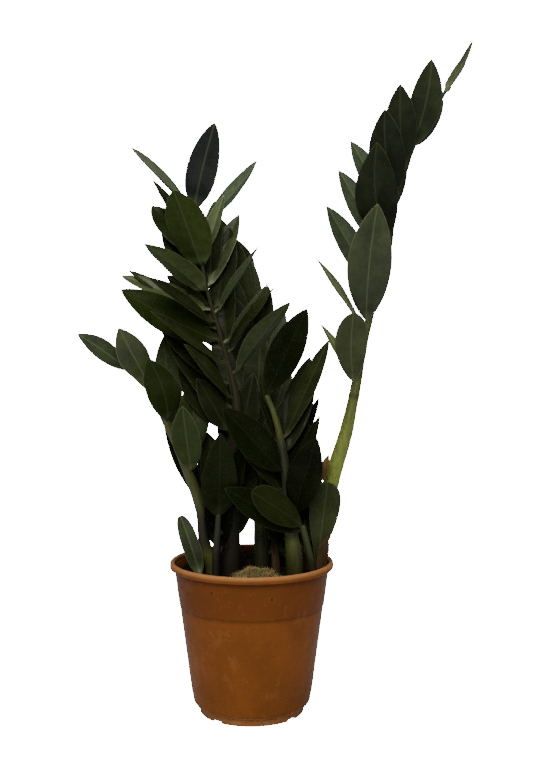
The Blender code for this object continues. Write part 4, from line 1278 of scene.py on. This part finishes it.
def make_stage():
    work = bmesh.new()
    bmesh.ops.create_grid(work, x_segments=1, y_segments=1, size=FLOOR_SIZE)
    mesh = bpy.data.meshes.new("floor")
    work.to_mesh(mesh)
    work.free()
    floor = new_object("floor", mesh)
    paper, tree, shader = finish_of("white_paper", (0.95, 0.95, 0.95), Base_Color=FLOOR_WHITE,
                                    Roughness=0.9)
    rays = add_node(tree, "ShaderNodeLightPath")
    glow = add_node(tree, "ShaderNodeEmission")
    glow.inputs["Strength"].default_value = FLOOR_GLOW
    both = add_node(tree, "ShaderNodeAddShader")
    choose = add_node(tree, "ShaderNodeMixShader")
    out = tree.nodes["Material Output"]
    tree.links.new(shader.outputs[0], both.inputs[0])
    tree.links.new(glow.outputs[0], both.inputs[1])
    tree.links.new(rays.outputs["Is Camera Ray"], choose.inputs[0])
    tree.links.new(shader.outputs[0], choose.inputs[1])
    tree.links.new(both.outputs[0], choose.inputs[2])
    tree.links.new(choose.outputs[0], out.inputs["Surface"])
    floor.data.materials.append(paper)


def make_world():
    world = bpy.data.worlds.new("studio")
    bpy.context.scene.world = world
    world.use_nodes = True
    tree = world.node_tree
    rays = add_node(tree, "ShaderNodeLightPath")
    strength = Wire(tree, rays.outputs["Is Camera Ray"]) * (SKY_SEEN - SKY_LIGHT) + SKY_LIGHT
    sky = tree.nodes["Background"]
    sky.inputs["Color"].default_value = (1, 1, 1, 1)
    feed(sky.inputs["Strength"], strength, tree)


def make_lamp(name, place, target, size, power):
    lamp = bpy.data.lights.new(name, "AREA")
    lamp.shape = "DISK"
    lamp.size = size
    lamp.energy = power
    item = bpy.data.objects.new(name, lamp)
    bpy.context.scene.collection.objects.link(item)
    item.location = place
    item.rotation_euler = (Vector(target) - Vector(place)).to_track_quat("-Z", "Y").to_euler()


def make_camera():
    lens = bpy.data.cameras.new("camera")
    lens.sensor_width = 36
    lens.lens = CAMERA_LENS
    camera = bpy.data.objects.new("camera", lens)
    bpy.context.scene.collection.objects.link(camera)
    camera.location = CAMERA_PLACE
    camera.rotation_euler = (math.radians(90 - CAMERA_DIP), 0, 0)
    bpy.context.scene.camera = camera


def main():
    make_camera()
    make_world()
    make_lamp("window", **WINDOW)
    make_lamp("top", **TOP_LAMP)
    make_stage()
    make_pot()
    make_soil()
    make_moss()
    for name, points in STEMS.items():
        make_stem(name, points)
    make_leaves()


main()
